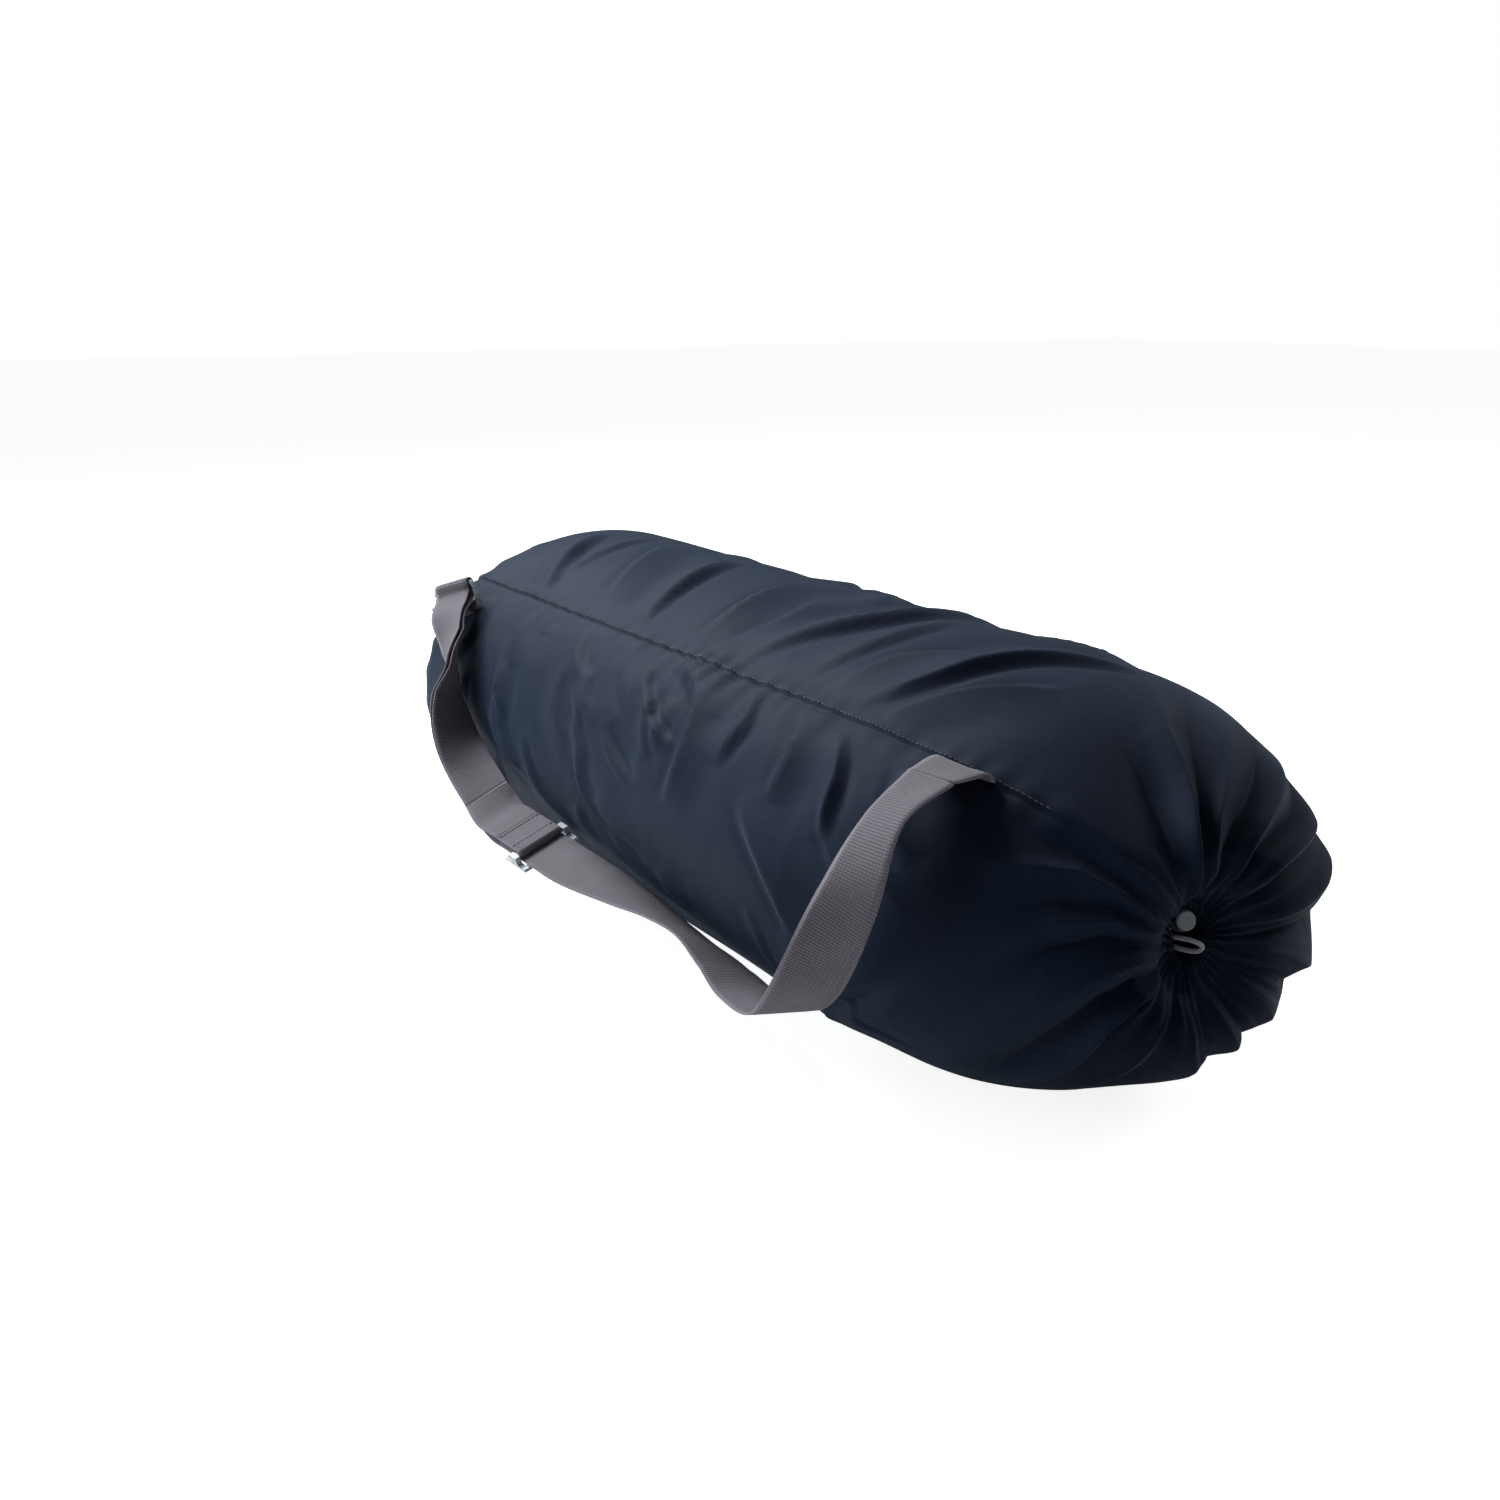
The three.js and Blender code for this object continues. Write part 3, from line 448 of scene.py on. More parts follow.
def profile_rows():
    """Stations along the bag, finer towards the mouth: columns x, size, arc length in mm."""
    raw = np.array(PROFILE, float)
    raw[:, 1] *= HALF
    long_side = np.stack([np.linspace(-296, 146, 60), np.full(60, HALF)], -1)
    points = np.vstack([raw[:3], long_side, raw[3:]])
    curve = catmull_rom(points, 2400)
    arc = np.r_[0, np.cumsum(np.linalg.norm(np.diff(curve, axis=0), axis=1))]
    start = arc[np.argmax(curve[:, 0] > 150)]
    at = np.r_[np.arange(0, 16, 1.6), np.arange(16, start, 3.6), np.arange(start, arc[-1], 1.5), arc[-1]]
    x = np.interp(at, arc, curve[:, 0])
    size = np.interp(at, arc, curve[:, 1]) / HALF
    return x, size, at


def crest_angles(size):
    """Each fold's crest angle at one size, in degrees, rising."""
    return np.array([np.interp(-size, [-s for s in FOLD_SIZES], angles) for angles, _, _ in FOLDS])


def gather_height(size, degrees):
    """Height of the mouth's folds, in mm, round one row of the bag: full lobes with tucked valleys."""
    crests = crest_angles(size)
    depths = np.array([depth * smoothstep(start - size, 0.0, 0.22) for _, depth, start in FOLDS])
    crests = np.r_[crests, crests[0] + 360]
    depths = np.r_[depths, depths[0]]
    d = np.where(degrees < crests[0], degrees + 360, degrees)
    k = np.clip(np.searchsorted(crests, d, side="right") - 1, 0, len(FOLDS) - 1)
    span = crests[k + 1] - crests[k]
    f = (d - crests[k]) / span
    valley = 0.5 + 0.16 * np.sin(2.4 * k + 1.0)
    t = np.where(f < valley, f / valley, (1 - f) / (1 - valley))
    depth = np.where(f < valley, depths[k], depths[k + 1])
    depth = (1 - smoothstep(t, 0, 1)) * depth + smoothstep(t, 0, 1) * np.minimum(depths[k], depths[k + 1])
    crest_power = 1.25 + 0.3 * np.sin(1.7 * np.where(f < valley, k, k + 1) + 0.4)
    lobe = 1 - t ** crest_power
    base = np.interp(-size, [-s for s in FOLD_SIZES], FOLD_DEPTH)
    spans = np.roll(np.diff(crests), 1)
    spans = np.r_[spans, spans[0]]
    beside = 0.5 * (spans + np.roll(spans[:-1], -1)[np.arange(len(spans)) % len(FOLDS)])
    at_crest = np.where(f < valley, beside[k], beside[k + 1])
    wide = np.clip((at_crest + (span - at_crest) * smoothstep(t, 0, 1)) / 26, 0.55, 1.25)
    small = smoothstep(0.62 - size, 0, 0.4)
    ripple = np.sin(2 * np.pi * (f * 3 + 0.3 * k)) * np.sin(np.pi * f) * 1.2 * small
    ripple = ripple * np.clip(span / 20, 0.5, 1.4)
    return base * depth * wide * (lobe - 0.62) + ripple


def crease_field(arc_x, degrees):
    """Height in mm of the drawn creases over the grid: one flank of each is steeper than the other."""
    height = np.zeros(arc_x.shape)
    for n, (line, width, tall) in enumerate(CREASES):
        path = even_steps(catmull_rom(np.array([(x, math.radians(a) * BODY_REACH) for x, a in line]), 60), 14)
        best = np.full(arc_x.shape, 1e9)
        side = np.zeros(arc_x.shape)
        along = np.zeros(arc_x.shape)
        y = np.radians(degrees) * BODY_REACH
        for i in range(len(path) - 1):
            a, b = path[i], path[i + 1]
            edge = b - a
            t = np.clip(((arc_x - a[0]) * edge[0] + (y - a[1]) * edge[1]) / (edge @ edge), 0, 1)
            dx, dy = arc_x - a[0] - t * edge[0], y - a[1] - t * edge[1]
            distance = np.hypot(dx, dy)
            closer = distance < best
            best = np.where(closer, distance, best)
            side = np.where(closer, np.sign(edge[0] * dy - edge[1] * dx), side)
            along = np.where(closer, (i + t) / (len(path) - 1), along)
        taper = np.clip(np.sin(np.pi * along), 0, 1) ** 0.7
        steep = 1 if n % 2 else -1
        flank = np.where(side == steep, width * 0.4, width * 1.35)
        ridge = np.exp(-(best / flank) ** 1.25) - 0.35 * np.exp(-(best / flank - 2.2) ** 2)
        height += 1.55 * tall * taper * ridge
    return height


def wander(arc_x, angle, seed, count=26, low=2, high=7):
    """Soft seeded unevenness of a stuffed bag, smooth all the way round it."""
    rng = np.random.default_rng(seed)
    total = np.zeros(arc_x.shape)
    for _ in range(count):
        turns = rng.integers(0, high)
        wave = rng.uniform(low, high) / 330.0
        phase = turns * angle + wave * arc_x * rng.choice([-1, 1]) + rng.uniform(0, 6.28)
        total += np.sin(phase) / (1 + turns)
    return total / math.sqrt(count)


def back_creases():
    """Seeded creases for the sides that face away, in the manner of the drawn ones."""
    rng = np.random.default_rng(41)
    lines = []
    for _ in range(34):
        x = rng.uniform(-280, 170)
        a = rng.uniform(-100, 74)
        slant = rng.uniform(-45, 45)
        drop = rng.uniform(14, 34)
        bend = rng.uniform(-12, 12)
        line = [(x, a), (x + slant / 2 + bend, a + drop / 2), (x + slant, a + drop)]
        lines.append((line, rng.uniform(6, 11), rng.uniform(1.2, 3.0)))
    for _ in range(30):
        x = rng.uniform(-285, 200)
        a = rng.uniform(136, 200)
        slant = rng.uniform(6, 60)
        drop = rng.uniform(8, 26)
        line = [(x, a), (x + slant * 0.35, a + drop * 0.6), (x + slant, a + drop)]
        lines.append((line, rng.uniform(4, 8), rng.uniform(0.7, 1.8)))
    return lines


def seam_height(arc_x, size, degrees):
    """The lengthwise seam: a narrow groove, a raised lap above it and puckers along both sides."""
    reach = BODY_REACH * size
    off = (degrees - SEAM_ANGLE) * math.pi / 180 * reach
    groove = -1.3 * np.exp(-(off / 1.2) ** 2)
    lap = 0.7 * np.exp(-((off + 4) / 4.0) ** 2)
    strength = 0.35 + 0.65 * smoothstep(arc_x, -230, -150) * (1 - smoothstep(arc_x, 120, 190))
    wave = np.sin(arc_x / 2.5 + 1.3 * np.sin(arc_x / 17)) * (0.6 + 0.4 * np.sin(arc_x / 41 + 1))
    upper = wave * np.exp(-(np.minimum(off, 0) / 11) ** 2) * (off < 0)
    lower = wave * np.exp(-(np.maximum(off, 0) / 15) ** 2) * (off >= 0)
    fade = 1 - smoothstep(1 - size, 0.1, 0.4)
    return (groove + lap) * (0.4 + 0.6 * fade) + 1.15 * strength * (upper + lower) * fade


def hem_rows():
    """The cord's casing and what turns in behind it: x offset from the mouth, radius, pucker depth."""
    return [
        (3.2, 22.5, 1.6), (2.6, 20.6, 1.9), (1.6, 18.8, 2.0), (0.9, 17.2, 1.9), (0.0, 16.0, 1.6),
        (0.6, 15.0, 1.5), (1.1, 13.8, 1.7), (1.0, 12.6, 1.9), (0.3, 11.4, 1.9), (-0.9, 10.4, 1.7),
        (-2.4, 9.8, 1.5), (-4.4, 9.9, 1.3), (-7, 10.8, 1.2), (-10, 12.6, 1.0), (-13, 15.0, 0.8),
        (-17, 18.5, 0.5), (-22, 24, 0.2), (-28, 32, 0.0),
    ]


def bag_cloth(material):
    """The body panel with its gathered mouth and hem, as one grid of rows round the bag."""
    x, size, arc = profile_rows()
    degrees = np.arange(AROUND) * 360.0 / AROUND
    angle = np.radians(degrees)
    plain = np.array([bag_point(xi, si, angle) for xi, si in zip(x, size)])
    across = np.roll(plain, -1, 1) - np.roll(plain, 1, 1)
    along = np.gradient(plain, axis=0)
    normal = np.cross(across, along)
    normal /= np.linalg.norm(normal, axis=-1, keepdims=True)
    outward = np.sign(((plain - [0, 0, 100]) * normal).sum(-1).mean())
    normal *= outward

    grid_arc = np.repeat((arc - arc[0] - 322)[:, None], AROUND, 1)
    grid_degrees = np.repeat(degrees[None], len(arc), 0)
    grid_size = np.repeat(size[:, None], AROUND, 1)
    height = np.array([gather_height(s, degrees) if a > 120 else 0 * degrees
                       for s, a in zip(size, grid_arc[:, 0])])
    CREASES.extend(back_creases())
    wrapped = np.where(grid_degrees > 262, grid_degrees - 360, grid_degrees)
    body = 1 - smoothstep(grid_arc, 190, 262)
    height += crease_field(grid_arc, wrapped) * body
    grid_angle = np.radians(grid_degrees)
    height += (2.6 * wander(grid_arc, grid_angle, 5) + 0.6 * wander(grid_arc, grid_angle, 9, 30, 8, 22)) * (
        0.25 + 0.75 * body)
    height += seam_height(grid_arc, grid_size, grid_degrees)
    rim = 1 - smoothstep(grid_arc, -322, -300)
    gather = np.sin(np.radians(grid_degrees) * BASE_GATHERS + 1.4 * np.sin(np.radians(grid_degrees) * 5))
    height += rim * (1.3 * gather - 1.0) - 2.0 * np.exp(-((grid_arc + 321) / 2.5) ** 2)
    points = plain + normal * height[..., None]

    # The underside lies on the ground, with the cloth pressed flat where the bag rests.
    floor = 0.5
    z = points[..., 2]
    points[..., 2] = np.where(z < 6, floor + (6 - floor) * np.exp((z - 6) / (6 - floor)), z)

    last_x = points[-1]
    hem = []
    drawn = degrees + 3.0 * np.sin(np.radians(degrees) * 7)
    beside_lock = np.exp(-(((degrees - 119 + 180) % 360 - 180) / 30) ** 2)
    for dx, radius, pucker in hem_rows():
        fine = np.sin(np.radians(drawn) * HEM_GATHERS + 0.5 * dx)
        r = radius + pucker * 0.55 * fine + beside_lock * 9.5 * smoothstep(24 - radius, 0, 10)
        xx = MOUTH[0] + dx + pucker * 0.8 * np.cos(np.radians(drawn) * HEM_GATHERS) + 1.2 * beside_lock
        hem.append(np.stack([xx, MOUTH[1] + r * np.cos(angle), MOUTH[2] + r * np.sin(angle)], -1))
    hem = np.array(hem)
    # The last rows of the folds settle onto the hem's first row.
    settle = smoothstep(np.arange(len(points)), len(points) - 14, len(points) - 1)[:, None, None]
    points = points * (1 - settle) + settle * (points + (hem[0] - last_x)[None])
    points = np.vstack([points, hem[1:]])

    hem_steps = np.linalg.norm(np.diff(hem.mean(1), axis=0), axis=1) + 1.4
    hem_arc = arc[-1] + np.r_[0, np.cumsum(hem_steps)]
    v = np.r_[arc, hem_arc[1:]] * MM
    u = np.linspace(0, 2 * math.pi * 0.12, AROUND + 1)
    faces = grid_faces(len(points), AROUND, wrap=True)
    cloth = mesh_object("bag_cloth", points.reshape(-1, 3), faces, material, grid_uv(u, v))
    return cloth, points


def offset_inward(points, depth):
    """The same grid moved towards the bag's middle by depth in mm."""
    middle = np.array([0, 0, 102.0]) * [0, 1, 1] + points.mean((0, 1)) * [1, 0, 0]
    inward = middle - points
    inward[..., 0] = 0
    inward /= np.linalg.norm(inward, axis=-1, keepdims=True)
    return points + inward * depth


def strip_from(name, points, material, wrap=False):
    """A thin sheet through a grid of points, with UVs in metres."""
    rows, columns = points.shape[:2]
    u = np.r_[0, np.cumsum(np.linalg.norm(np.diff(points[rows // 2], axis=0), axis=1))] * MM
    if wrap:
        u = np.linspace(0, u[-1] * columns / (columns - 1), columns + 1)
    v = np.r_[0, np.cumsum(np.linalg.norm(np.diff(points[:, columns // 2], axis=0), axis=1))] * MM
    uv = grid_uv(u, v) if wrap else grid_uv(u, v)
    return mesh_object(name, points.reshape(-1, 3), grid_faces(rows, columns, wrap), material, uv)


def base_cloth(material):
    """The round base: slightly domed, puckered into its seam, with a few soft wrinkles across it."""
    degrees = np.arange(AROUND // 2) * 720.0 / AROUND
    angle = np.radians(degrees)
    s = np.r_[1.0, 0.992, np.linspace(0.98, 0.03, 70)]
    rows = []
    for si in s:
        pucker = 1.2 * np.sin(angle * BASE_GATHERS + 1.4 * np.sin(angle * 5)) * math.exp(-(1 - si) * 9)
        soft = 1.8 * np.sin(2 * angle + 1) * math.sin(3 * si)
        soft = soft + 1.1 * np.sin(5 * angle + 4 * si) * si * (1 - si) * 4
        tuck = 2.6 * math.exp(-(((1 - si) * 125) / 3) ** 2)
        x = -320.5 - 10 * (1 - si * si) + pucker - 0.5 * soft * (1 - si ** 6) + tuck
        ring = bag_point(-322.0, 0.925 * si, angle)
        ring[:, 0] = x
        ring[:, 2] = np.maximum(ring[:, 2], 3.2)
        rows.append(ring)
    points = np.array(rows)
    return strip_from("base_cloth", points, material, wrap=True)


# ---- webbing ----------------------------------------------------------------------------------
def ribbon(name, stations, material, width=WEB_WIDTH, thick=WEB_THICK, step=1.5, columns=10, cup=0.0):
    """A flat strip through stations of (centre, width direction), both faces and both edges."""
    centres = catmull_rom([c for c, _ in stations], len(stations) * 40)
    acrosses = catmull_rom([w for _, w in stations], len(stations) * 40)
    arc = np.r_[0, np.cumsum(np.linalg.norm(np.diff(centres, axis=0), axis=1))]
    count = max(4, int(arc[-1] / step))
    at = np.linspace(0, arc[-1], count)
    centre = np.stack([np.interp(at, arc, centres[:, i]) for i in range(3)], -1)
    across = np.stack([np.interp(at, arc, acrosses[:, i]) for i in range(3)], -1)
    along = np.gradient(centre, axis=0)
    along /= np.linalg.norm(along, axis=1, keepdims=True)
    across -= along * (across * along).sum(1, keepdims=True)
    across /= np.linalg.norm(across, axis=1, keepdims=True)
    normal = np.cross(across, along)
    w = np.linspace(-1, 1, columns)
    edge_thin = 1 - 0.35 * np.abs(w) ** 12
    loop_w = np.r_[w, w[::-1]]
    loop_n = np.r_[-0.5 * edge_thin, 0.5 * edge_thin[::-1]]
    curl = cup * (loop_w ** 2)
    points = (centre[:, None] + across[:, None] * (loop_w * width / 2)[None, :, None]
              + normal[:, None] * (loop_n * thick + curl)[None, :, None])
    sides = 2 * columns
    faces = [list(f) for f in grid_faces(count, sides, wrap=True)]
    u = loop_w * width / 2 * MM
    u_next = np.r_[u[1:], u[0]]
    corner = []
    for r in range(count - 1):
        v0, v1 = at[r] * MM, at[r + 1] * MM
        for c in range(sides):
            corner += [(u[c], v0), (u_next[c], v0), (u_next[c], v1), (u[c], v1)]
    for r, turn in ((0, -1), (count - 1, 1)):
        cap = [r * sides + c for c in range(sides)][::turn]
        faces.append(cap)
        corner += [(u[i - r * sides], at[r] * MM) for i in cap]
    return mesh_object(name, points.reshape(-1, 3), faces, material, corner)


def on_slider(along, up=0.0):
    return SLIDER + SLIDER_ALONG * along + SLIDER_UP * up


def round_bar(degrees, drop=0.0):
    a = math.radians(degrees)
    return LOOP_BAR - LOOP_NORMAL * LEG_TURN_R * math.cos(a) + LOOP_UP * (LEG_TURN_R * math.sin(a) - drop)


STRAP_ROUTE = [
    ((219, -85.4, 176.6), (0.96, 0.2, -0.1)), ((220, -103, 175), (0.98, 0.08, 0.05)),
    ((221, -128, 161), (0.97, 0, 0.2)), ((221, -148, 125), (0.91, 0.36, -0.2)),
    ((202, -155, 82), (0.54, 0.81, -0.23)), ((167, -146, 54), (0.36, 0.93, -0.02)),
    ((118, -134, 42), (0.36, 0.93, -0.07)), ((93, -131, 44.5), (0.37, 0.88, -0.31)),
    ((67, -131, 49.5), (0.31, 0.8, -0.45)), ((37, -133, 52), (0.25, 0.88, -0.35)),
    ((2, -137, 54), (0.15, 0.97, -0.05)),
    *[(on_slider(along), SLIDER_ACROSS) for along in (-34, -16, 0, 20, 36)],
    ((-162, -150, 70), (0.01, 0.8, 0.6)), ((-192, -151, 85), (0.02, 0.9, 0.43)),
    ((-210, -152, 101), (-0.21, 0.97, 0.1)), ((-223, -150, 120), (-0.545, 0.84, 0)),
    ((-232, -143, 137), (-0.848, 0.53, 0)), ((-249, -136, 153), (-1, 0.06, -0.05)),
    ((-264, -131, 167), (-0.94, -0.28, -0.18)), (round_bar(0, 4), LOOP_ACROSS),
]


def return_leg():
    """The strap's second leg, inside the first, from the loop's bar down towards the slider."""
    last = len(STRAP_ROUTE) - 1
    out = []
    for i, spacing in enumerate([3.4, 3.2, 3, 3, 2.8, 2.8, 3.2]):
        centre, across = (np.asarray(v, float) for v in STRAP_ROUTE[last - 1 - i])
        ahead, behind = (np.asarray(STRAP_ROUTE[at][0], float) for at in (last - i, last - 2 - i))
        along = unit(ahead - behind)
        out.append((centre + unit(np.cross(across, along)) * spacing, across))
    return out


def strap_pieces():
    """The strap from its seam to the end of its second leg, in three pieces, the middle one attached to the
    strap's body.
    """
    seam_end = ((219.5, -80, 170.5), (0.96, 0.2, -0.1))
    root = ribbon("strap_root", [seam_end, *STRAP_ROUTE[:2]], strap_look)
    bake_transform(root)
    over_bar = [(round_bar(a), LOOP_ACROSS) for a in range(0, 181, 30)]
    leg = return_leg()
    through = (LOOP_BAR - LOOP_UP * 7.5 + LOOP_NORMAL * 0.6, LOOP_ACROSS)
    outer = ribbon("strap_webbing", [*STRAP_ROUTE[1:], *over_bar, through, *leg], strap_look)
    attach(outer, "strap")
    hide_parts("shoulder_webbing")
    hem_top = HEM_MIDDLE + HEM_R
    joined = [leg[-1], (on_slider(52, 4.6), SLIDER_ACROSS), (on_slider(36, hem_top), SLIDER_ACROSS),
              (on_slider(25.5, hem_top), SLIDER_ACROSS)]
    inner = ribbon("strap_second_leg", joined, strap_look)
    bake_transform(inner)


def strap_hem():
    """The strap's end folded round the slider's middle bar and sewn down with two rows of stitches."""
    turn = [(-0.9 + HEM_R * math.cos(a), HEM_MIDDLE + HEM_R * math.sin(a))
            for a in (math.pi / 2 + math.pi * i / 6 for i in range(7))]
    line = [(HEM_LENGTH + 0.5, HEM_MIDDLE + HEM_R), (12, HEM_MIDDLE + HEM_R), *turn, (12, HEM_MIDDLE - HEM_R),
            (HEM_LENGTH, HEM_MIDDLE - HEM_R)]
    hem = ribbon("hem_webbing", [(on_slider(x, z), SLIDER_ACROSS) for x, z in line], strap_look, step=0.8)
    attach(hem, "slider")
    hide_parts("strap_hem")
    top = HEM_MIDDLE + HEM_R + WEB_THICK / 2 + 0.1
    for name, along in (("hem_stitch_inner", 6.0), ("hem_stitch_outer", HEM_LENGTH - 2)):
        row = [(on_slider(along, top) + SLIDER_ACROSS * (-13 + i * 2.9), SLIDER_ACROSS) for i in range(10)]
        thread = stitches(name + "_thread", [(p, d, SLIDER_UP) for p, d in row], 2.3, 0.32)
        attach(thread, "slider")
        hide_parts(name)


def stitches(name, places, length, radius):
    """One mesh of short stitches, each a bead that dips in at its ends. places are (point, direction, up)."""
    points, faces = [], []
    profile = [(-0.5, 0.35, -0.5), (-0.38, 0.85, -0.1), (-0.1, 1.0, 0.15), (0.1, 1.0, 0.15),
               (0.38, 0.85, -0.1), (0.5, 0.35, -0.5)]
    sides = 6
    for point, direction, up in places:
        direction = unit(direction)
        side = unit(np.cross(direction, up))
        raised = np.cross(side, direction)
        start = len(points)
        for t, wide, lift in profile:
            middle = np.asarray(point, float) + direction * t * length + raised * lift * radius
            for k in range(sides):
                a = 2 * math.pi * k / sides
                points.append(middle + radius * wide * (math.cos(a) * side + math.sin(a) * raised))
        faces += [[start + i for i in f] for f in grid_faces(len(profile), sides, wrap=True)]
        faces.append([start + k for k in range(sides)][::-1])
        faces.append([start + (len(profile) - 1) * sides + k for k in range(sides)])
    return mesh_object(name, points, faces, stitch_look)


def tab_piece():
    """Doubled webbing from the bag's base seam round the loop's lower bar; its near-black colour is painted
    shade.
    """
    drop = np.array([0.0, 0.0, -1.0])
    drop = unit(drop - LOOP_ACROSS * (drop @ LOOP_ACROSS))
    bar = LOOP_BAR + drop * LOOP_BAR_SPACING
    to_bag = unit([-0.45, 0.89, 0.02])
    normal = unit(np.cross(LOOP_ACROSS, to_bag))
    root_across = unit([0.0, -0.78, -0.62])

    def around(side, back):
        return bar + normal * side + to_bag * back

    turn = [math.radians(a) for a in (-90, -120, -150, 180, 150, 120, 90)]
    line = [around(TAB_TURN_R * math.sin(a), TAB_TURN_R * math.cos(a)) for a in turn]
    ends = [TAB_ROOT - normal * 0.8, TAB_ROOT + normal * 0.8]
    bend_across = unit([-0.55, -0.68, -0.5])
    stations = [(ends[0], root_across), *[(p, LOOP_ACROSS) for p in line], (ends[1], root_across)]
    stations.insert(1, (TAB_BEND - normal * 1.2, bend_across))
    stations.insert(-1, (TAB_BEND + normal * 1.2, bend_across))
    tab = ribbon("tab_webbing", stations, tab_painted_shade_look, width=28)
    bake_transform(tab)
    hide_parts("loop_tab", "tab_root")


def seam_threads(points):
    """Topstitching along the lengthwise seam, riding in the groove's upper edge."""
    column = int(round((SEAM_ANGLE - 0.9) / 360 * AROUND))
    line = points[:, column]
    beyond = points[:, column - 3]
    keep = (line[:, 0] > -312) & (np.arange(len(line)) < len(line) - 40) & (line[:, 0] < 262)
    line = line[keep]
    beyond = beyond[keep]
    arc = np.r_[0, np.cumsum(np.linalg.norm(np.diff(line, axis=0), axis=1))]
    at = np.arange(3, arc[-1] - 3, 3.1)
    place = np.stack([np.interp(at, arc, line[:, i]) for i in range(3)], -1)
    inner = np.stack([np.interp(at, arc, beyond[:, i]) for i in range(3)], -1)
    direction = np.gradient(place, axis=0)
    out = []
    for p, q, d in zip(place, inner, direction):
        side = q - p
        up = np.cross(d, side)
        up = unit(up if up @ (p - [p[0], 0, 100]) > 0 else -up)
        out.append((p + up * 0.12, d, up))
    thread = stitches("seam_thread", out, 2.5, 0.26)
    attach(thread, "bag")


def inside_pieces(points):
    """Bindings and the strap's sewn-in end, on the inside of the cloth."""
    def column(a):
        return int(round(a / 360 * AROUND))

    x = points[:, column(SEAM_ANGLE), 0]
    body_rows = np.where((x > -296) & (x < 200) & (np.arange(len(x)) < 300))[0][::2]
    tape = offset_inward(points[body_rows][:, column(SEAM_ANGLE - 3):column(SEAM_ANGLE + 3.5)], 3.6)
    binding = strip_from("seam_tape", tape, tape_look)
    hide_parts("side_seam_binding")
    far_rows = np.where((x < -299) & (np.arange(len(x)) < 40))[0]
    rim = strip_from("base_tape", offset_inward(points[far_rows], 3.6), tape_look, wrap=True)
    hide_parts("base_seam_binding")
    near_rows = np.where((x > 206) & (x < 229) & (np.arange(len(x)) < 300))[0]
    root = offset_inward(points[near_rows][:, column(SEAM_ANGLE - 5):column(SEAM_ANGLE + 5.5)], 3.8)
    sewn = strip_from("strap_sewn_end", root, strap_look)
    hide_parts("anchor_root")
    for piece, name in ((binding, "binding_tape"), (rim, "binding_tape"), (sewn, "webbing")):
        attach(piece, "bag")


def held_drawcord():
    """The cord in its casing, the two leads to the lock, and the two strands inside the lock."""
    def mouth_point(degrees):
        a = math.radians(degrees)
        return MOUTH + np.array([-2.8, CASING_R * math.cos(a), CASING_R * math.sin(a)])

    ring = [mouth_point(176 + 240 * i / 28) for i in range(29)]
    casing = curve_object("drawcord_ring", catmull_rom(ring, 160), CORD, cord_look)
    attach(casing, "bag")
    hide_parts("drawcord")
    left = [lock_point(LOCK_EXIT - 1, CORD_OFFSET), lock_point(LOCK_EXIT + 1, CORD_OFFSET),
            ring[0] + [-1, 0, 3.5], ring[0]]
    right = [lock_point(1 - LOCK_EXIT, -CORD_OFFSET), lock_point(-LOCK_EXIT - 1, -CORD_OFFSET),
             ring[-1] + [-1, -2.9, 2], ring[-1]]
    for name, line in (("drawcord_lead_left", left), ("drawcord_lead_right", right)):
        lead = cord_mesh(name, catmull_rom(line, 30), CORD, cord_look)
        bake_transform(lead)
    for name, side in (("drawcord_in_lock_upper", CORD_OFFSET), ("drawcord_in_lock_lower", -CORD_OFFSET)):
        strand = curve_object(name, [lock_point(a, side) for a in (-6.5, -3, 0, 3, 6.5)], CORD, cord_look)
        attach(strand, "cord_lock")


def dress_hardware():
    """Rounds the moulded parts' edges and gives them their materials."""
    looks = {"strap_slider": pale_plastic, "strap_loop": pale_plastic, "cord_lock_button": button_plastic,
             "cord_lock_barrel": dark_plastic, "cord_lock_spring": steel_look}
    for name, look in looks.items():
        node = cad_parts[name]
        node.data.materials.clear()
        node.data.materials.append(look)
        if name == "strap_loop":
            smooth = node.modifiers.new("smooth", "SUBSURF")
            smooth.levels = smooth.render_levels = 2
        elif name != "cord_lock_spring":
            edge = node.modifiers.new("edge", "BEVEL")
            edge.width = (0.5 if name == "strap_slider" else 0.25) * MM
            edge.segments = 3
            edge.limit_method = "ANGLE"
            edge.angle_limit = math.radians(40)


# ---- build ------------------------------------------------------------------------------------
make_camera()
cloth_look = cloth_material()
strap_look = webbing_material("webbing", 0.0015, 0.0019, (0.118, 0.103, 0.132))
# The tab is the strap's webbing painted near-black: painted shade, because the tab lies in shadow.
tab_painted_shade_look = webbing_material("webbing_painted_shade", 0.0015, 0.0019, (0.016, 0.017, 0.024))
tape_look = webbing_material("binding_tape", 0.0008, 0.0008, (0.008, 0.010, 0.018))
pale_plastic = plastic_material("pale_plastic", (0.36, 0.41, 0.46), 0.25, 0.1)
button_plastic = plastic_material("button_plastic", (0.23, 0.27, 0.31), 0.3)
dark_plastic = plastic_material("dark_plastic", (0.03, 0.035, 0.04), 0.35)
cord_look = thread_material("cord", (0.34, 0.37, 0.41), 0.0007)
stitch_look = thread_material("thread", (0.035, 0.033, 0.045), 0.0004)
steel_look = steel_material()


# free drawcord: one length from the lock's side, out in a small loop, coiled inside, back to the lock
def lock_point(along, side):
    return LOCK_MIDDLE + CORD_DIR * along + CORD_SIDE * side


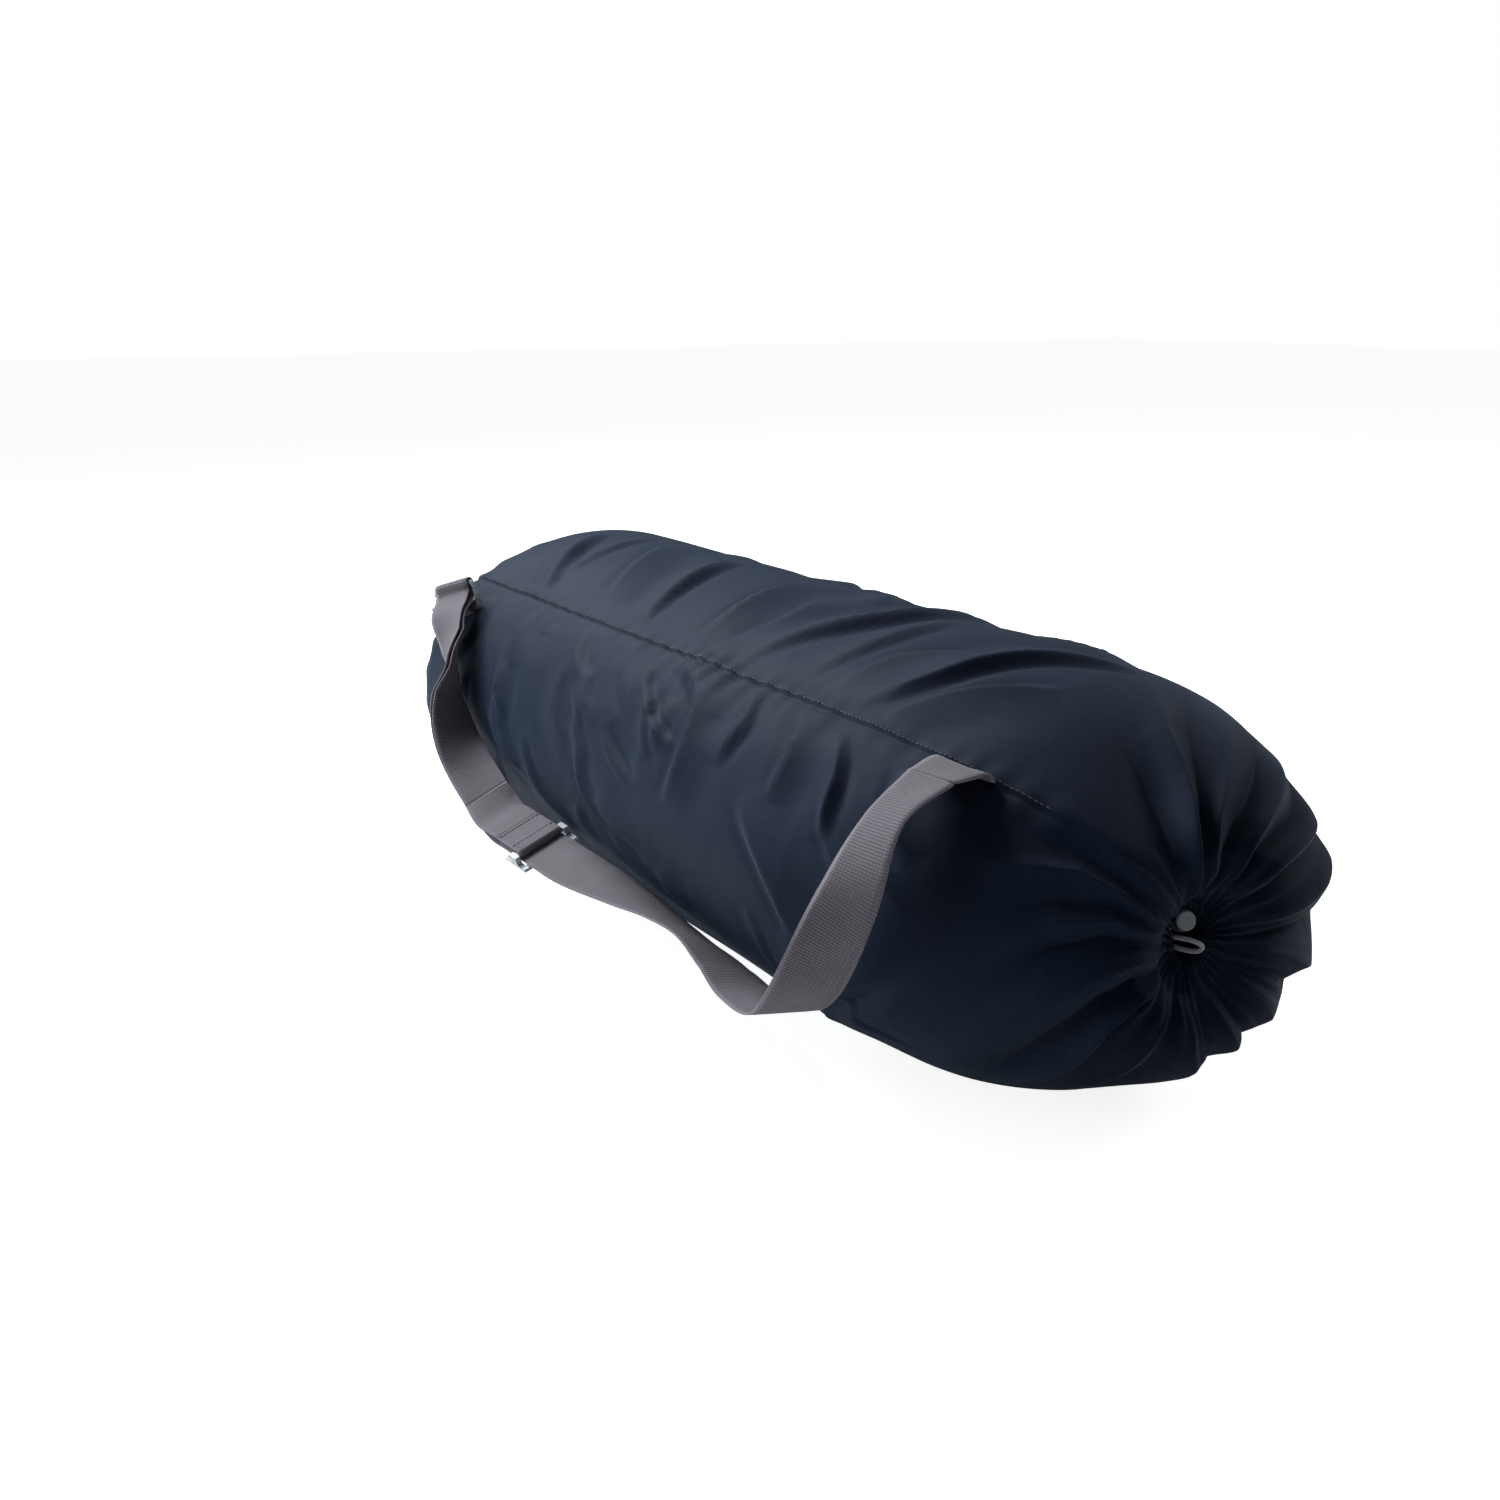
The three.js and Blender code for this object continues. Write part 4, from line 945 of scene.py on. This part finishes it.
LOOP_OUT = [
    lock_point(LOCK_EXIT + 0.4, -CORD_OFFSET), lock_point(LOCK_EXIT + 1.6, -CORD_OFFSET),
    (284.5, -21.9, 106.4), (290.5, -20.9, 107.4), (296, -17.2, 106.8), (297.5, -13.5, 104.1),
    (295, -13.3, 101), (289, -16.2, 100.3), (280, -17.7, 99.8), (270, -17.7, 92.8), (261.9, -18, 74.4),
    (254.9, -18.4, 52.1), (243.1, -19.3, 31.5), (224.3, -20, 18.5), (199.5, -19.2, 14.2),
]
LOOP_BACK = [
    lock_point(-LOCK_EXIT - 0.4, CORD_OFFSET), lock_point(-LOCK_EXIT - 2.4, CORD_OFFSET),
    (276.5, -3.2, 112.8), (270, -4.2, 105.8), (261.9, -3.5, 88.4), (254.9, -2.4, 66.1), (246.6, 0.4, 43.6),
    (232.5, 4.7, 24.9), (214.8, 9.4, 15.8), (194.8, 11.2, 14),
]
COIL = (176, -2, 5)


def coil_turns():
    """Six turns: up the inner column of three, then down the outer one."""
    points = []
    start = math.radians(-90)
    for k in range(6 * 24 + 1):
        turn = k / 24
        a = start - 2 * math.pi * turn
        outer = smoothstep(turn, 2.7, 3.3)
        radius = 12 + 2.5 * outer
        layer = np.interp(turn, [0, 2.8, 3.2, 6], [2, 0, 0, 2])
        height = COIL[2] + 1.1 + 2.2 * layer
        points.append((COIL[0] + radius * math.cos(a), COIL[1] + radius * math.sin(a), height))
    return points


route = np.array([*LOOP_OUT, *coil_turns()[2:-3], *LOOP_BACK[::-1]], float)
free_cord_path = even_steps(catmull_rom(route, 1400), 520)
free_cord = cord_mesh("drawcord_free", free_cord_path, CORD, cord_look)
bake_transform(free_cord)
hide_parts("drawcord_tail_out", "drawcord_tail_back", "drawcord_coil")

bag, bag_points = bag_cloth(cloth_look)
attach(bag, "bag")
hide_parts("body_panel", "mouth_casing")
base = base_cloth(cloth_look)
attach(base, "bag")
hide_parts("base_panel")
seam_threads(bag_points)
inside_pieces(bag_points)
held_drawcord()
strap_pieces()
strap_hem()
tab_piece()
dress_hardware()


# ---- stage ------------------------------------------------------------------------------------
def area_light(name, location, target, size, energy, colour=(1, 1, 1)):
    data = bpy.data.lights.new(name, "AREA")
    data.shape = "RECTANGLE"
    data.size, data.size_y = size
    data.energy = energy
    data.color = colour
    lamp = bpy.data.objects.new(name, data)
    lamp.location = location
    lamp.rotation_euler = (Vector(target) - Vector(location)).to_track_quat("-Z", "Y").to_euler()
    scene.collection.objects.link(lamp)


def make_stage():
    n = Nodes("floor")
    position = n.add("ShaderNodeTexCoord").outputs["Object"]
    paper = n.noise(position, 30.0, 3.0)
    n.set(n.shader.inputs["Base Color"], n.ramp(paper, (0.84, 0.845, 0.84), (0.88, 0.885, 0.88)))
    n.uniform(Roughness=0.9, Specular_IOR_Level=0.1)
    camera_ray = n.add("ShaderNodeLightPath").outputs["Is Camera Ray"]
    glow = n.add("ShaderNodeEmission", {"Color": (1, 1, 1, 1), "Strength": 0.86})
    both = n.add("ShaderNodeAddShader", {0: n.shader.outputs[0], 1: glow.outputs[0]})
    choose = n.add("ShaderNodeMixShader", {0: camera_ray, 1: n.shader.outputs[0], 2: both.outputs[0]})
    n.set(n.tree.nodes["Material Output"].inputs["Surface"], choose.outputs[0])
    side = 9000
    floor = mesh_object("floor", [(-side, -side, 0), (side, -side, 0), (side, side, 0), (-side, side, 0)],
                        [(0, 1, 2, 3)], n.material)
    world = bpy.data.worlds.new("world")
    scene.world = world
    world.use_nodes = True
    tree = world.node_tree
    back = tree.nodes["Background"]
    ray = tree.nodes.new("ShaderNodeLightPath")
    strength = tree.nodes.new("ShaderNodeMapRange")
    strength.inputs["To Min"].default_value = 0.12
    strength.inputs["To Max"].default_value = 1.0
    tree.links.new(ray.outputs["Is Camera Ray"], strength.inputs["Value"])
    tree.links.new(strength.outputs["Result"], back.inputs["Strength"])
    back.inputs["Color"].default_value = (1, 1, 1, 1)
    area_light("key_above", (-1.1, -0.35, 1.35), (-0.1, 0, 0.1), (0.8, 0.8), 40)
    area_light("fill_front", (-0.7, -1.7, 0.7), (-0.1, 0, 0.1), (0.9, 0.7), 13, (0.86, 1.0, 1.0))
    area_light("rim_behind", (0.5, 1.5, 1.0), (0.1, 0, 0.15), (1.0, 0.5), 7)
    scene.view_settings.view_transform = "Standard"


make_stage()
